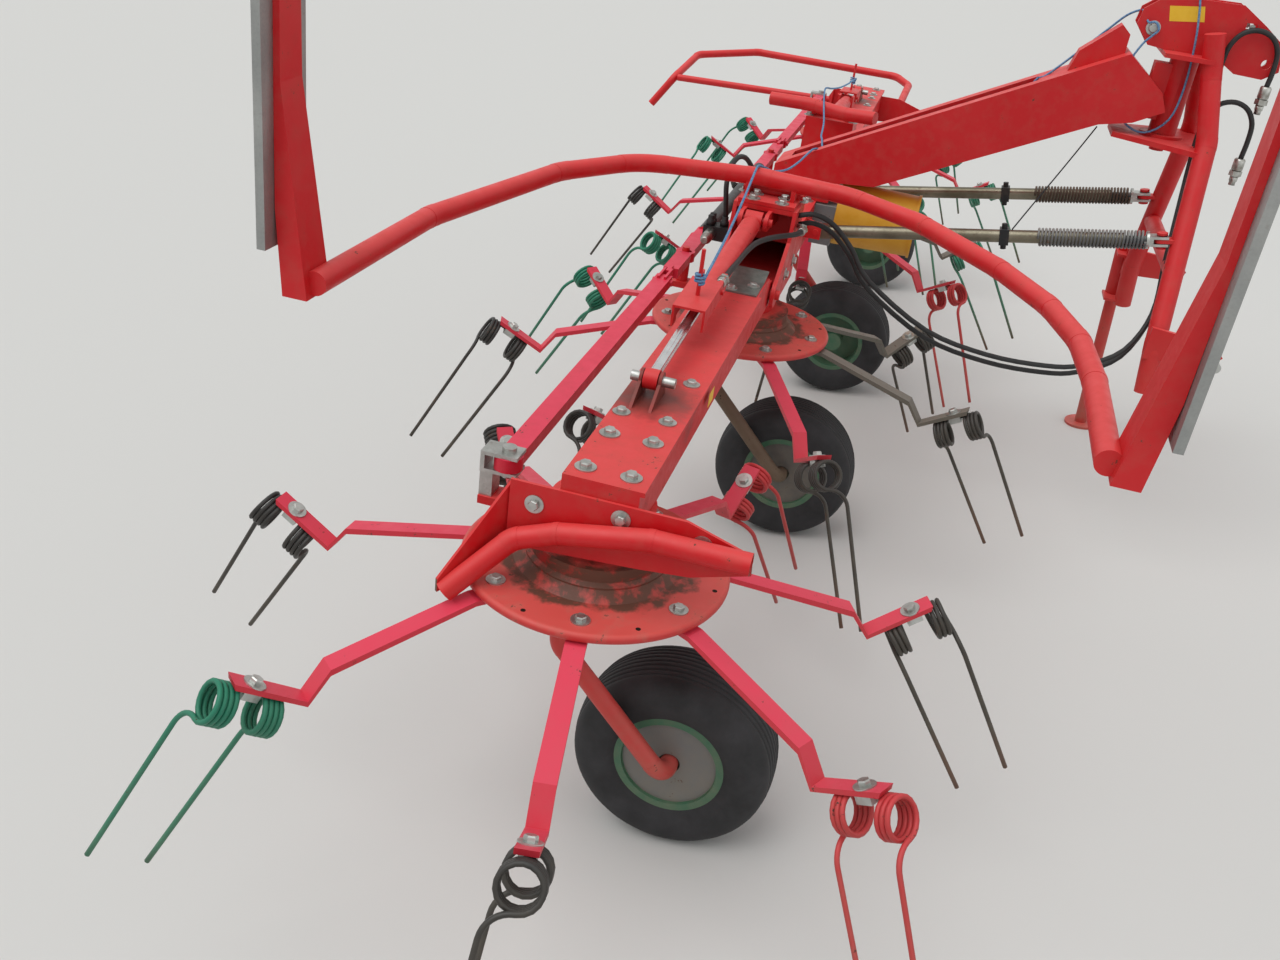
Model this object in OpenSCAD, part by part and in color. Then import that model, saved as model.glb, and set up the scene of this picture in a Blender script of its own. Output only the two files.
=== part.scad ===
// Four-rotor mounted hay tedder on a swivelling three-point headstock, parked on its wheels and jack.
// X runs along the wings, +Y is the tractor side, +Z is up, and the floor is at zero below the centre.

/* [Layout] */
// Distance between neighbouring rotor axes
rotor_pitch = 1330; // [1300:5:1360]
// Height of the rotor rim above the floor with the machine level
rim_z = 636; // [625:1:645]
// Forward lean of the whole machine about the wheel hubs, in degrees
lean = 6; // [4:0.5:7]
// Phase of the arms on the first rotor, in degrees
phase_1 = 9.6; // [8:0.2:11]
// Phase of the arms on the second rotor, in degrees
phase_2 = 30; // [29:0.5:32]
// Phase of the arms on the third rotor, in degrees
phase_3 = 7; // [6:0.5:9]
// Phase of the arms on the fourth rotor, in degrees
phase_4 = 32; // [31:0.5:34]

/* [Wheels] */
// Outer diameter of a tyre
tyre_d = 406; // [396:2:412]
// Width of a tyre
tyre_w = 165; // [150:1:170]
// Diameter of a rim over its flanges
rim_d = 235; // [225:1:240]
// Distance of the hubs in front of the rotor axes
wheel_y = 190; // [180:1:200]
// Distance of a wheel's middle plane inside its rotor axis
wheel_in = 90; // [85:1:95]

/* [Rotors] */
// Outer radius of the dished rotor plate
plate_r = 243; // [235:1:250]
// Number of tine arms on a rotor
arm_count = 7; // [7]
// Width of a tine arm
arm_w = 36; // [30:1:40]
// Thickness of a tine arm
arm_t = 10; // [8:1:12]
// Upward slope of an arm's outer end, in degrees
arm_rise = 32; // [30:0.5:34]
// Wire diameter of a tine
wire_d = 9.5; // [9:0.1:10]
// Outer diameter of a tine's coil
coil_d = 76; // [72:1:80]
// Turns in a coil
coil_turns = 4; // [3:1:4]
// Length of a tine below its coil's centre
tine_l = 370; // [350:1:380]

/* [Wings] */
// Top of the wing beam above the floor
beam_top = 856; // [850:1:860]
// Height of the wing beam
beam_h = 92; // [86:1:96]
// Rear face of the wing beam
beam_y0 = -50; // [-52:1:-46]
// Front face of the wing beam
beam_y1 = 85; // [80:1:88]
// Fold hinge, distance from the middle
hinge_x = 845; // [840:1:850]
// Fold hinge, height above the floor
hinge_z = 798; // [794:1:800]

/* [Guard] */
// Outer diameter of the guard tube
guard_d = 46; // [42:1:48]
// Height of the guard tube's centre
guard_z = 1032; // [1028:1:1040]
// Length of a marking board
board_l = 800; // [700:10:850]
// Width of a marking board
board_w = 141; // [130:1:150]

/* [Headstock] */
// Distance between the lower link pins' shoulders
link_span = 825; // [820:1:830]
// Diameter of a lower link pin
link_pin_d = 28; // [28:0.5:28.5]
// Height of the lower link pins with the machine level
link_z = 735; // [725:1:745]
// Distance of the lower link pins in front of the rotor axes
link_y = 1240; // [1230:1:1250]
// Swivel axis of the headstock in front of the rotor axes
swivel_y = 1000; // [995:1:1005]

/* [Hidden] */
$fn = 40;

// Colours of the preview
red = "#c8242c";
pink = "#e8485a";
dark_green = "#0e6b4a";
black = "#1c1c1e";
zinc = "#a9adab";
grey = "#8e9490";
yellow = "#d9a020";

// Small gap between pieces that touch
gap = 0.3;
// Middle of the outline seen from above, which is put over the origin
mid_x = 6.9;
mid_y = 196.3;
tyre_r = tyre_d / 2;
// Rotors: [axis x, hand of rotation, phase of the arms]
rotor_table = [
    [rotor_pitch * 1.5, 1, phase_1],
    [rotor_pitch * 0.5, -1, phase_2],
    [-rotor_pitch * 0.5, 1, phase_3],
    [-rotor_pitch * 1.5, -1, phase_4]];
AXIS_X = 0;
HAND = 1;
PHASE = 2;

// Rotor plate: thickness, radius of the rolled rim, height of its flat, radius of the arm bolts
plate_t = 5;
roll_r = 9;
flat_r = 150;
dish_r = 128;
plate_z = rim_z + 4;
bolt_circle = 202;
neck_r = 78;
neck_z = 694;
head_z = 738;
step_r = 122;
// Centre line of an arm in its own upright plane: [radius, height]
arm_path = [[130, 618], [245, 618], [498, 551], [536, 499]];
arm_end_l = 134;
coil_places = [54, 138];
// Tines: bend where a tine leaves its coil, and its angle
tine_bend_r = 45;
tine_bend_a = 84;

// Wheel legs: tube radius, plane of the bent tube outside the rotor axis, axle radius
leg_r = 19;
leg_x = 18;
axle_r = 15;
stem_r = 28;
// Levers that steer the wheel legs
lever_l = 180;
lever_z = 708;
lever_t = 16;
// Tie rods: centre line, width, thickness, pin radius, joint over the fold hinge
tie_y = -lever_l;
tie_z = 793;
tie_w = 40;
tie_t = 26;
tie_pin_r = 10;
tie_eye_r = 26;
tie_play = 6.2;
tie_x = 870;
// Clevis on an outer lever: half width, thickness of a prong, depth behind the pin
clevis_w = 23;
clevis_t = 7;
clevis_back = 45;

// Wing beam: inner end, outer end, wall, middle of its width
beam_x0 = 1055;
beam_x1 = 2104;
beam_wall = 6;
beam_mid_y = (beam_y0 + beam_y1) / 2;
cheek_t = 10;
hinge_gap = 6;
hinge_r = 34;
hinge_pin_r = 12;
// Tower of the centre frame that carries the fold cylinder
tower_x0 = 560;
tower_x1 = 705;
tower_top = 976;
// Fold cylinder: pin at the tower, pin at the wing
cyl_base = [750, 0, 948];
cyl_eye = [1735, 0, 892];
cyl_barrel_r = 25;
cyl_rod_r = 12.5;
cyl_eye_r = 20;
cyl_eye_w = 28;
cyl_pin_r = 10;
cyl_len = norm(cyl_eye - cyl_base);
cyl_slope = atan2(cyl_base.z - cyl_eye.z, cyl_eye.x - cyl_base.x);
barrel_l = 515;
// Lock over the cylinder's rod: ears on the barrel, place of its pin, the channel's ends
lock_ear = [22, 30];
lock_ear_s = [470, 575];
lock_pin_s = 555;
lock_pin_h = 20;
lock_pin_r = 6;
lock_s = [540, 715];
lock_top_h = [33, 38];

// Headstock: swivel pin and its bush, top link hole, feet of the bent tubes
swivel_r = 20;
bush_r = 38;
bush_z0 = 1215;
bush_z1 = 1424;
top_link = [0, 1199, 1439];
top_link_r = 12.9;
frame_tube_r = 28;
frame_tube_y = 1100;
foot_x = link_span / 2 - 27.5;
swivel_plate_t = 14;
head_plate_t = 12;
// Parking jack: pin at its top, its lower end, radii of the leg and of the sleeve round it
jack_top = [-link_span / 2 - 34.5, 1070, 780];
jack_foot = [-520, 1122, 102];
jack_r = 20;
jack_sleeve_r = 27;
ear_t = 8;
ear_places = [749, 597];

// Dampers between centre frame and headstock: distance from the middle, and both pins [y, z]
damper_x = 262;
damper_y0 = 118;
damper_z0 = 816;
damper_y1 = 1050;
damper_z1 = 979;
damper_l = norm([damper_y1 - damper_y0, damper_z1 - damper_z0]);
damper_slope = atan2(damper_z1 - damper_z0, damper_y1 - damper_y0);
// Places along a damper: tube, joint block, slim tube, rod, spring, fork
damper_tube_s = [40, 520];
damper_joint_s = [518, 544];
damper_slim_s = [542, 850];
damper_rod_s = 640;
spring_s = [620, 906];
fork_s = [912, 962];
damper_eye_w = 24;
damper_gap = 1;
damper_pin_r = 9;
damper_tube_r = 18;
damper_rod_r = 11;
fork_pin_r = 8;
spring_wire_r = 3.3;
spring_pitch = 9.4;

// Guard: fold hinge [x, z], radius of its knuckles and its pin, ends of the middle knuckle
guard_hinge = [608, 992];
knuckle_r = 15;
knuckle_pin_r = 8;
knuckle_y = [-28, 64];
seat_y = [-56, 92];
seat_t = 10;
// Posts of the boards: middle, half widths of foot and top, heights of foot, bend and top, sheet
post_x = 1950;
post_foot_w = 42;
post_top_w = 26;
post_z = [1003, 1366, 1900];
post_t = 5;
// Planes of each post's web at its foot and above its bend, by side of the machine
post_y = [[790, 840], [573, 622]];
post_edge = 12;
board_z = 1090;
board_t = 16;

// Shaft of the tractor drive: height and diameter of the splined end
pto_z = 815;
pto_d = 34.9;
gearbox_top = beam_top - 6;

// Puts the middle of the outline over the origin
module placed() {
    translate([-mid_x, -mid_y, 0]) children();
}

// Leans the level machine forward about its wheel hubs
module leaned() {
    placed() translate([0, wheel_y, tyre_r]) rotate([-lean, 0, 0]) translate([0, -wheel_y, -tyre_r]) children();
}

// Repeats the right wing's shape on the side asked for
module sided(side) {
    if (side < 0) mirror([1, 0, 0]) children();
    else children();
}

// Round bar from one point to another
module bar(a, b, r) {
    v = b - a;
    translate(a) rotate([0, acos(v.z / norm(v)), atan2(v.y, v.x)]) cylinder(h = norm(v), r = r);
}

// Box from one corner to the opposite one
module block(a, b) {
    translate(a) cube(b - a);
}

// Plate in an upright plane across the wings: outline in y and z, between two x values
module plate_x(outline, x0, x1) {
    translate([x0, 0, 0]) rotate([90, 0, 90]) linear_extrude(x1 - x0) polygon(outline);
}

// Plate in an upright plane along the wings: outline in x and z, between two y values
module plate_y(outline, y0, y1) {
    translate([0, y1, 0]) rotate([90, 0, 0]) linear_extrude(y1 - y0) polygon(outline);
}

// Round bar along y
module bar_y(x, z, y0, y1, r) {
    translate([x, y1, z]) rotate([90, 0, 0]) cylinder(h = y1 - y0, r = r);
}

function unit(v) = v / norm(v);
// Length that a bend of radius b takes off each leg at corner i
function cut(p, i, b) =
    i == 0 || i == len(p) - 1 ? 0
    : b * tan(acos(unit(p[i] - p[i - 1]) * unit(p[i + 1] - p[i])) / 2);

// Straight runs of a bent tube are this much slimmer than its bends
swage = 0.6;
// How far a straight run reaches into the bend at corner i
function lap(p, i) = i == 0 || i == len(p) - 1 ? 0 : 1;

// Tube through the given corners, bent to radius b
module bent_tube(p, r, b) {
    for (i = [0 : len(p) - 2]) {
        u = unit(p[i + 1] - p[i]);
        bar(p[i] + u * (cut(p, i, b) - lap(p, i)), p[i + 1] - u * (cut(p, i + 1, b) - lap(p, i + 1)), r - swage);
    }
    for (i = [1 : len(p) - 2]) {
        u = unit(p[i] - p[i - 1]);
        v = unit(p[i + 1] - p[i]);
        n = unit(v - u * (u * v));
        c = p[i] - u * cut(p, i, b) + n * b;
        w = cross(-n, u);
        multmatrix([[-n.x, u.x, w.x, c.x], [-n.y, u.y, w.y, c.y], [-n.z, u.z, w.z, c.z], [0, 0, 0, 1]])
            rotate_extrude(angle = acos(u * v)) translate([b, 0]) circle(r);
    }
}

// Rotor plate with its rolled rim, stepped middle and bosses for the arms
module rotor_plate(k) {
    row = rotor_table[k - 1];
    leaned() translate([row[AXIS_X], 0, 0]) color(red) {
        rotate_extrude() {
            translate([plate_r - roll_r, rim_z]) circle(roll_r);
            translate([flat_r, plate_z]) square([plate_r - roll_r - flat_r, plate_t]);
            polygon([[flat_r, plate_z], [flat_r, plate_z + plate_t], [dish_r, plate_z + 22], [dish_r, plate_z + 14]]);
            polygon([[step_r + 8, plate_z + 8], [step_r + 8, plate_z + 24], [step_r, plate_z + 30],
                [step_r, neck_z - gap], [60, neck_z - gap], [60, plate_z - 20], [90, plate_z - 20],
                [90, plate_z + 24]]);
        }
        for (i = [0 : arm_count - 1])
            rotate([0, 0, row[PHASE] + i * 360 / arm_count])
                translate([bolt_circle, 0, 623 + gap]) cylinder(h = plate_z - 623 + 1, r = 15);
    }
}

// Direction of an arm's outer end and a point on its centre line
function arm_point(s, off = 0) =
    [arm_path[3].x + s * cos(arm_rise) + off * sin(arm_rise), 0,
     arm_path[3].y + s * sin(arm_rise) - off * cos(arm_rise)];

// Bar of one arm: the path thickened by half the plate to either side
module arm_bar() {
    end = arm_point(arm_end_l);
    p = concat(arm_path, [[end.x, end.z]]);
    top = [for (i = [0 : len(p) - 1]) p[i] + [0, 1] * arm_t / 2 / cos(arm_lean(p, i))];
    low = [for (i = [len(p) - 1 : -1 : 0]) p[i] - [0, 1] * arm_t / 2 / cos(arm_lean(p, i))];
    rotate([90, 0, 0]) translate([0, 0, -arm_w / 2]) linear_extrude(arm_w) polygon(concat(top, low));
}

// Slope of the arm at corner i
function arm_lean(p, i) =
    i == 0 ? 0 : i == len(p) - 1 ? arm_rise
    : (atan2(p[i].y - p[i - 1].y, p[i].x - p[i - 1].x) + atan2(p[i + 1].y - p[i].y, p[i + 1].x - p[i].x)) / 2;

// Seven arms of a rotor, each with the holder of its tines
module rotor_arms(k) {
    row = rotor_table[k - 1];
    under = arm_t / 2 + gap;
    leaned() translate([row[AXIS_X], 0, 0]) color(pink)
        for (i = [0 : arm_count - 1])
            rotate([0, 0, row[PHASE] + i * 360 / arm_count]) {
                arm_bar();
                translate(arm_point(96, 0)) rotate([0, 90 - arm_rise, 0]) difference() {
                    translate([arm_t / 2 - 1, -13, -15]) cube([17, 26, 30]);
                    translate([under + wire_d / 2, 0, -16]) cylinder(h = 32, r = wire_d / 2 + gap);
                }
            }
}

// A pair of coil tines, made for a rotor that turns to the left seen from above
module tine_pair() {
    ring = (coil_d - wire_d) / 2;
    pitch = wire_d - 0.2;
    mid = arm_t / 2 + gap + coil_d / 2;
    for (j = [0, 1])
        translate(arm_point(coil_places[j], mid)) rotate([0, 90 - arm_rise, 0]) {
            rotate_extrude()
                for (i = [0 : coil_turns - 1])
                    translate([ring, (i - (coil_turns - 1) / 2) * pitch]) circle(wire_d / 2);
            translate([ring + tine_bend_r, 0, (j - 0.5) * pitch]) {
                rotate([0, 0, 180]) rotate_extrude(angle = tine_bend_a) translate([tine_bend_r, 0]) circle(wire_d / 2);
                rotate([0, 0, 180 + tine_bend_a]) translate([tine_bend_r, 0, 0]) rotate([-90, 0, 0])
                    cylinder(h = tine_l - ring - tine_bend_r, r = wire_d / 2);
            }
        }
    span = coil_places[1] - coil_places[0] - coil_turns * pitch;
    translate(arm_point(96, mid - ring)) rotate([0, 90 - arm_rise, 0])
        translate([0, 0, -span / 2 - 1]) cylinder(h = span + 2, r = wire_d / 2);
}

// Tines of a rotor
module rotor_tines(k) {
    row = rotor_table[k - 1];
    leaned() translate([row[AXIS_X], 0, 0]) color(dark_green)
        for (i = [0 : arm_count - 1])
            rotate([0, 0, row[PHASE] + i * 360 / arm_count])
                if (row[HAND] > 0) tine_pair();
                else mirror([0, 1, 0]) tine_pair();
}

// Bent leg that carries a wheel, with its stem, steering lever and axle
module wheel_leg(k) {
    row = rotor_table[k - 1];
    side = row[AXIS_X] > 0 ? 1 : -1;
    outer = abs(row[AXIS_X]) > rotor_pitch;
    axle_out = leg_x - 52;
    lever_top = lever_z + lever_t;
    prong = tie_t / 2 + gap;
    lever_end = lever_l + (outer ? clevis_back : 24);
    leaned() translate([row[AXIS_X], 0, 0]) sided(side) color(red) {
        translate([0, 0, 555]) cylinder(h = neck_z + 1 - 555, r = stem_r);
        translate([0, 0, neck_z]) cylinder(h = head_z - gap - neck_z, r = neck_r);
        bent_tube([[leg_x, 0, 600], [leg_x, -12, 540], [leg_x, -55, 460], [leg_x, wheel_y, tyre_r],
            [axle_out, wheel_y, tyre_r]], leg_r, 40);
        translate([axle_out + 1, wheel_y, tyre_r]) rotate([0, -90, 0]) cylinder(h = 112, r = axle_r);
        block([-24, -lever_end, lever_z], [24, 10 - neck_r, lever_top]);
        if (outer) {
            block([-20, -lever_end, lever_top - 1], [20, -lever_end + 24, tie_z - prong]);
            block([-clevis_w, -lever_end, tie_z - prong - clevis_t],
                [clevis_w, -lever_end + 8, tie_z + prong + clevis_t]);
            for (z = [tie_z - prong - clevis_t, tie_z + prong])
                block([-clevis_w, -lever_end, z], [clevis_w, tie_y + clevis_w, z + clevis_t]);
            translate([0, tie_y, tie_z - 29]) cylinder(h = 58, r = tie_pin_r);
            for (z = [tie_z - 29, tie_z + prong + clevis_t - 1])
                translate([0, tie_y, z]) cylinder(h = 29 - prong - clevis_t + 1, r = tie_pin_r + 3);
        } else {
            translate([0, tie_y, lever_top - 1]) cylinder(h = tie_z - prong - lever_top + 1, r = 16);
            translate([0, tie_y, lever_top - 1]) cylinder(h = tie_z + 25 - lever_top, r = tie_pin_r);
        }
    }
}

// Tyre: a rounded section turned about the hub
module tyre(k) {
    row = rotor_table[k - 1];
    side = row[AXIS_X] > 0 ? 1 : -1;
    bead_r = rim_d / 2 - 15.5;
    wall_r = bead_r + 16;
    shoulder = 26;
    w = tyre_w / 2;
    leaned() translate([row[AXIS_X] - side * wheel_in, wheel_y, tyre_r]) rotate([0, 90, 0]) color(black)
        rotate_extrude() {
            translate([bead_r, -62]) square([20, 124]);
            translate([wall_r, shoulder - w]) square([tyre_r - wall_r, tyre_w - 2 * shoulder]);
            translate([wall_r + shoulder, -w]) square([tyre_r - wall_r - 2 * shoulder, tyre_w]);
            for (s = [-1, 1]) {
                translate([wall_r + shoulder, s * (w - shoulder)]) circle(shoulder);
                translate([tyre_r - shoulder, s * (w - shoulder)]) circle(shoulder);
            }
        }
}

// Rim with its centre disc, hub and the cover on the side of the leg
module rim(k) {
    row = rotor_table[k - 1];
    side = row[AXIS_X] > 0 ? 1 : -1;
    drop_r = rim_d / 2 - 21.5;
    lip_r = 2.5;
    rim_w = 66;
    hub_r = 30;
    leaned() translate([row[AXIS_X] - side * wheel_in, wheel_y, tyre_r]) sided(side) rotate([0, 90, 0])
        color(dark_green) rotate_extrude() {
            translate([drop_r, -rim_w]) square([6 - gap, 2 * rim_w]);
            for (s = [-1, 1]) {
                translate([drop_r, s * rim_w - lip_r]) square([rim_d / 2 - lip_r - drop_r, 2 * lip_r]);
                translate([rim_d / 2 - lip_r, s * rim_w]) circle(lip_r);
            }
            translate([hub_r, -4]) square([drop_r + 2 - hub_r, 6]);
            translate([axle_r + gap, -rim_w]) square([hub_r - axle_r, rim_w + 40]);
            translate([leg_r + 3, 58]) square([drop_r - leg_r - 1, 3]);
            translate([drop_r - 2, 56]) square([6, 6]);
            translate([0, -72]) square([hub_r + 2, 7]);
        }
}

// Beam of one wing with its gear housing, hinge cheeks and the lugs of the fold cylinder
module wing_beam(side) {
    z0 = beam_top - beam_h;
    lug = [[1700, beam_top - 2], [cyl_eye.x - 17, cyl_eye.z], [cyl_eye.x + 17, cyl_eye.z], [1810, beam_top - 2]];
    cheek = [[beam_x0 + 30, z0], [beam_x0 + 30, beam_top], [905, beam_top], [hinge_x + 10, hinge_z + 32],
        [hinge_x, hinge_z - 20], [870, z0]];
    leaned() sided(side) color(red) {
        difference() {
            block([beam_x0, beam_y0, z0], [beam_x1, beam_y1, beam_top]);
            block([beam_x0 - 1, beam_y0 + beam_wall, z0 + beam_wall],
                [beam_x1 - beam_wall, beam_y1 - beam_wall, beam_top - beam_wall]);
        }
        block([beam_x0, beam_y1 - 1, beam_top - 9], [beam_x1, beam_y1 + 8, beam_top]);
        translate([rotor_pitch * 1.5, 0, head_z]) cylinder(h = z0 - head_z + 1, r = neck_r);
        translate([rotor_pitch * 1.5, 0, z0 - 10]) cylinder(h = 11, r = neck_r + 16);
        for (y = [beam_y0, beam_y1 - cheek_t])
            difference() {
                union() {
                    plate_y(cheek, y, y + cheek_t);
                    bar_y(hinge_x, hinge_z, y, y + cheek_t, hinge_r);
                }
                bar_y(hinge_x, hinge_z, y - 1, y + cheek_t + 1, hinge_pin_r + gap);
            }
        block([930, beam_y0, beam_top - 8], [beam_x0 + 1, beam_y1, beam_top]);
        for (s = [-1, 1]) {
            y = s * 19;
            plate_y(lug, y - 3, y + 3);
            bar_y(cyl_eye.x, cyl_eye.z, y - 3, y + 3, 18);
            bar_y(cyl_eye.x, cyl_eye.z, s > 0 ? 17 : -40, s > 0 ? 46 : -17, cyl_pin_r);
        }
    }
}

// Grey sheet over the gap at the wing's inner end
module cover(side) {
    z = beam_top + gap;
    t = 4;
    leaned() sided(side) color(grey)
        plate_y([[1062, z], [960, z], [900, z + 12], [900, z + 12 + t], [960, z + t], [1062, z + t]],
            beam_y0 + 4, beam_y1 - 4);
}

// Bent plate at a wing's end with the guard tube welded along it
module end_guard(side) {
    x = beam_x1 + gap;
    outline = [[-135, 826], [170, 827], [284, 792], [287, 757], [188, 725], [96, 715], [-135, 699]];
    near_tube = [[x + 92, -207, 632], [x + 30, -115, 728], [x + 25, -40, 756], [x + 25, 120, 788], [x + 25, 286, 790]];
    hoop = [[x + 22, -1000, 600], [x + 50, -905, 742], [x + 340, -868, 812], [x + 520, -600, 845],
        [x + 520, 105, 845], [x + 420, 178, 828], [x + 20, 172, 795], [x + 20, 90, 788]];
    leaned() sided(side) color(red) {
        plate_x(outline, x, x + 6);
        translate([x, -135, 0]) rotate([0, 0, -40]) plate_y(
            [[-6, 703], [-6, 822], [128, 655], [128, 630], [95, 640], [80, 665]], -7, -1);
        if (side > 0)
            difference() {
                bent_tube(near_tube, 20, 50);
                bent_tube(near_tube, 16.5, 50);
            }
        else {
            bent_tube(hoop, 18, 60);
            bent_tube([[x + 19, 150, 788], [x + 19, -60, 770], [x + 40, -890, 740]], 16, 60);
        }
    }
}

// Centre frame: cross beam, towers over the hinges and the housings of the two inner rotors
module centre_frame() {
    z0 = beam_top - beam_h;
    rear = beam_y0 - hinge_gap - cheek_t;
    front = beam_y1 + hinge_gap;
    cheek = [[tower_x0, z0], [tower_x0, tower_top], [tower_x1, tower_top], [tower_x1 + 20, 900],
        [hinge_x + 24, hinge_z + 24], [hinge_x + 24, hinge_z - 24], [740, z0]];
    base = [[tower_x0 + 6, 905], [tower_x0 + 6, 960], [cyl_base.x, cyl_base.z + 22], [cyl_base.x, cyl_base.z - 22]];
    ear = [[beam_y1 - 1, damper_z0 - 20], [beam_y1 - 1, damper_z0 + 26], [damper_y0 + 16, damper_z0 + 20],
        [damper_y0 + 16, damper_z0 - 20]];
    ear_in = damper_eye_w / 2 + damper_gap;
    leaned() color(red) {
        difference() {
            block([-tower_x0 - 4, beam_y0, z0], [tower_x0 + 4, beam_y1, beam_top]);
            block([-tower_x0 - 5, beam_y0 + beam_wall, z0 + beam_wall],
                [tower_x0 + 5, beam_y1 - beam_wall, beam_top - beam_wall]);
        }
        for (side = [-1, 1])
            sided(side) {
                translate([rotor_pitch / 2, 0, head_z]) cylinder(h = z0 - head_z + 1, r = neck_r);
                translate([rotor_pitch / 2, 0, z0 - 10]) cylinder(h = 11, r = neck_r + 16);
                block([tower_x0, rear, z0], [745, front + cheek_t, z0 + 8]);
                block([tower_x0, rear, beam_top - 4], [tower_x0 + 8, front + cheek_t, tower_top]);
                block([tower_x0, rear, tower_top - 12], [tower_x1, front + cheek_t, tower_top]);
                for (y = [rear, front]) {
                    plate_y(cheek, y, y + cheek_t);
                    bar_y(hinge_x, hinge_z, y, y + cheek_t, hinge_r);
                }
                for (x = [damper_x - ear_in - 6, damper_x + ear_in])
                    plate_x(ear, x, x + 6);
                bar([damper_x - 22, damper_y0, damper_z0], [damper_x + 22, damper_y0, damper_z0], damper_pin_r);
                bar_y(hinge_x, hinge_z, rear - 10, beam_y0 + cheek_t, hinge_pin_r);
                bar_y(hinge_x, hinge_z, beam_y1 - cheek_t, front + cheek_t + 10, hinge_pin_r);
                for (s = [-1, 1]) {
                    y = s * 33;
                    plate_y(base, y - 5, y + 5);
                    bar_y(cyl_base.x, cyl_base.z, y - 5, y + 5, 22);
                }
                bar_y(cyl_base.x, cyl_base.z, -48, 48, cyl_pin_r);
            }
        bar_y(guard_hinge.x, guard_hinge.y, knuckle_y[0], knuckle_y[1], knuckle_r);
        bar_y(guard_hinge.x, guard_hinge.y, seat_y[0] - 6, seat_y[1] + 6, knuckle_pin_r);
        block([guard_hinge.x - 8, knuckle_y[0], tower_top - 6], [guard_hinge.x - 1, knuckle_y[1], guard_hinge.y - 2]);
    }
}

// Gearbox on the front of the centre beam with the splined shaft of the tractor drive
module gearbox() {
    face = 150;
    leaned() color(grey) {
        block([-95, beam_y1 + gap, pto_z - 85], [95, face, gearbox_top]);
        translate([0, face - 1, pto_z]) rotate([-90, 0, 0]) cylinder(h = 30, r = 62);
        translate([0, face + 28, pto_z]) rotate([-90, 0, 0]) cylinder(h = 150, r = pto_d / 2);
        block([-70, beam_y0 - 60, pto_z - 70], [70, beam_y0 - gap, gearbox_top]);
    }
}

// Guard pot round the drive shaft
module pto_guard() {
    leaned() translate([0, 150 + gap, pto_z]) rotate([-90, 0, 0]) color(yellow) rotate_extrude() {
        translate([64, 0]) square([34, 4]);
        polygon([[92, 0], [98, 0], [92, 240], [88, 240], [88, 20]]);
        translate([86, 234]) square([10, 8]);
    }
}

// Welded drawbar from the centre beam up to the swivel bush
module drawbar() {
    w = 85;
    seat = beam_top + gap;
    back = [-60, 945];
    top = [850, 1415];
    nose = [959, 1329];
    side = [[-60, seat], back, top, nose, [981, 1282], [905, 1240], [819, 1220], [245, 930], [146, 922], [120, seat]];
    lug = [[700, 1334], [719, 1396], [812, 1480], [838, 1458], [838, 1390]];
    low = [0, -9];
    leaned() color(red) {
        for (x = [-w, w - 8])
            plate_x(side, x, x + 8);
        difference() {
            plate_x([back, back + low, top + [2, -11], nose + low, nose, top], 1 - w, w - 1);
            block([-35, -20, back.y - 20], [35, 633, nose.y]);
        }
        plate_x([[146, 922], [144, 930], [241, 939], [815, 1229], [903, 1249], [905, 1240], [819, 1220],
            [245, 930]], 1 - w, w - 1);
        plate_x([[-60, seat], [-60, 944], [-52, 944], [-52, seat]], 1 - w, w - 1);
        plate_x([[120, seat], [147, 925], [143, 929], [134, 925], [111, seat]], 1 - w, w - 1);
        plate_x(lug, -30, 30);
        difference() {
            union() {
                translate([0, swivel_y, bush_z0]) cylinder(h = bush_z1 - bush_z0, r = bush_r);
                plate_x([[890, 1242], [890, 1370], nose + [-6, -8], [977, 1284], [905, 1244]], 1 - w, w - 1);
                block([-25, 925, 1250], [25, swivel_y - 15, 1400]);
            }
            translate([0, swivel_y, bush_z0 - 1]) cylinder(h = bush_z1 - bush_z0 + 2, r = swivel_r + gap);
        }
    }
}

// Tube that carries the guard round the right wing, with its seat plate and posts
module guard_right() {
    z = guard_z;
    arch = [[1975, -567, z], [1495, -565, z], [963, -461, z], [720, -323, z], [633, -22, z], [659, 221, z],
        [786, 409, z], [1044, 605, z], [1241, 709, z], [1425, 762, z], [1629, 779, z], [1975, 781, z]];
    seat_z = tower_top + 1;
    seat_x = guard_hinge.x + knuckle_r + 3;
    ends = [[seat_y[0], knuckle_y[0] - 1], [knuckle_y[1] + 1, seat_y[1]]];
    leaned() color(red) {
        bent_tube(arch, guard_d / 2, 180);
        block([seat_x, seat_y[0], seat_z], [tower_x1, seat_y[1], seat_z + seat_t]);
        for (e = ends) {
            block([620, e[0] + 6, seat_z + seat_t - 1], [660, e[0] + 18, z]);
            difference() {
                union() {
                    bar_y(guard_hinge.x, guard_hinge.y, e[0], e[1], knuckle_r);
                    block([guard_hinge.x, e[0], seat_z], [seat_x + 1, e[1], seat_z + seat_t]);
                }
                bar_y(guard_hinge.x, guard_hinge.y, e[0] - 1, e[1] + 1, knuckle_pin_r + gap);
            }
        }
        for (s = [-1, 1])
            post(s);
    }
}

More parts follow.
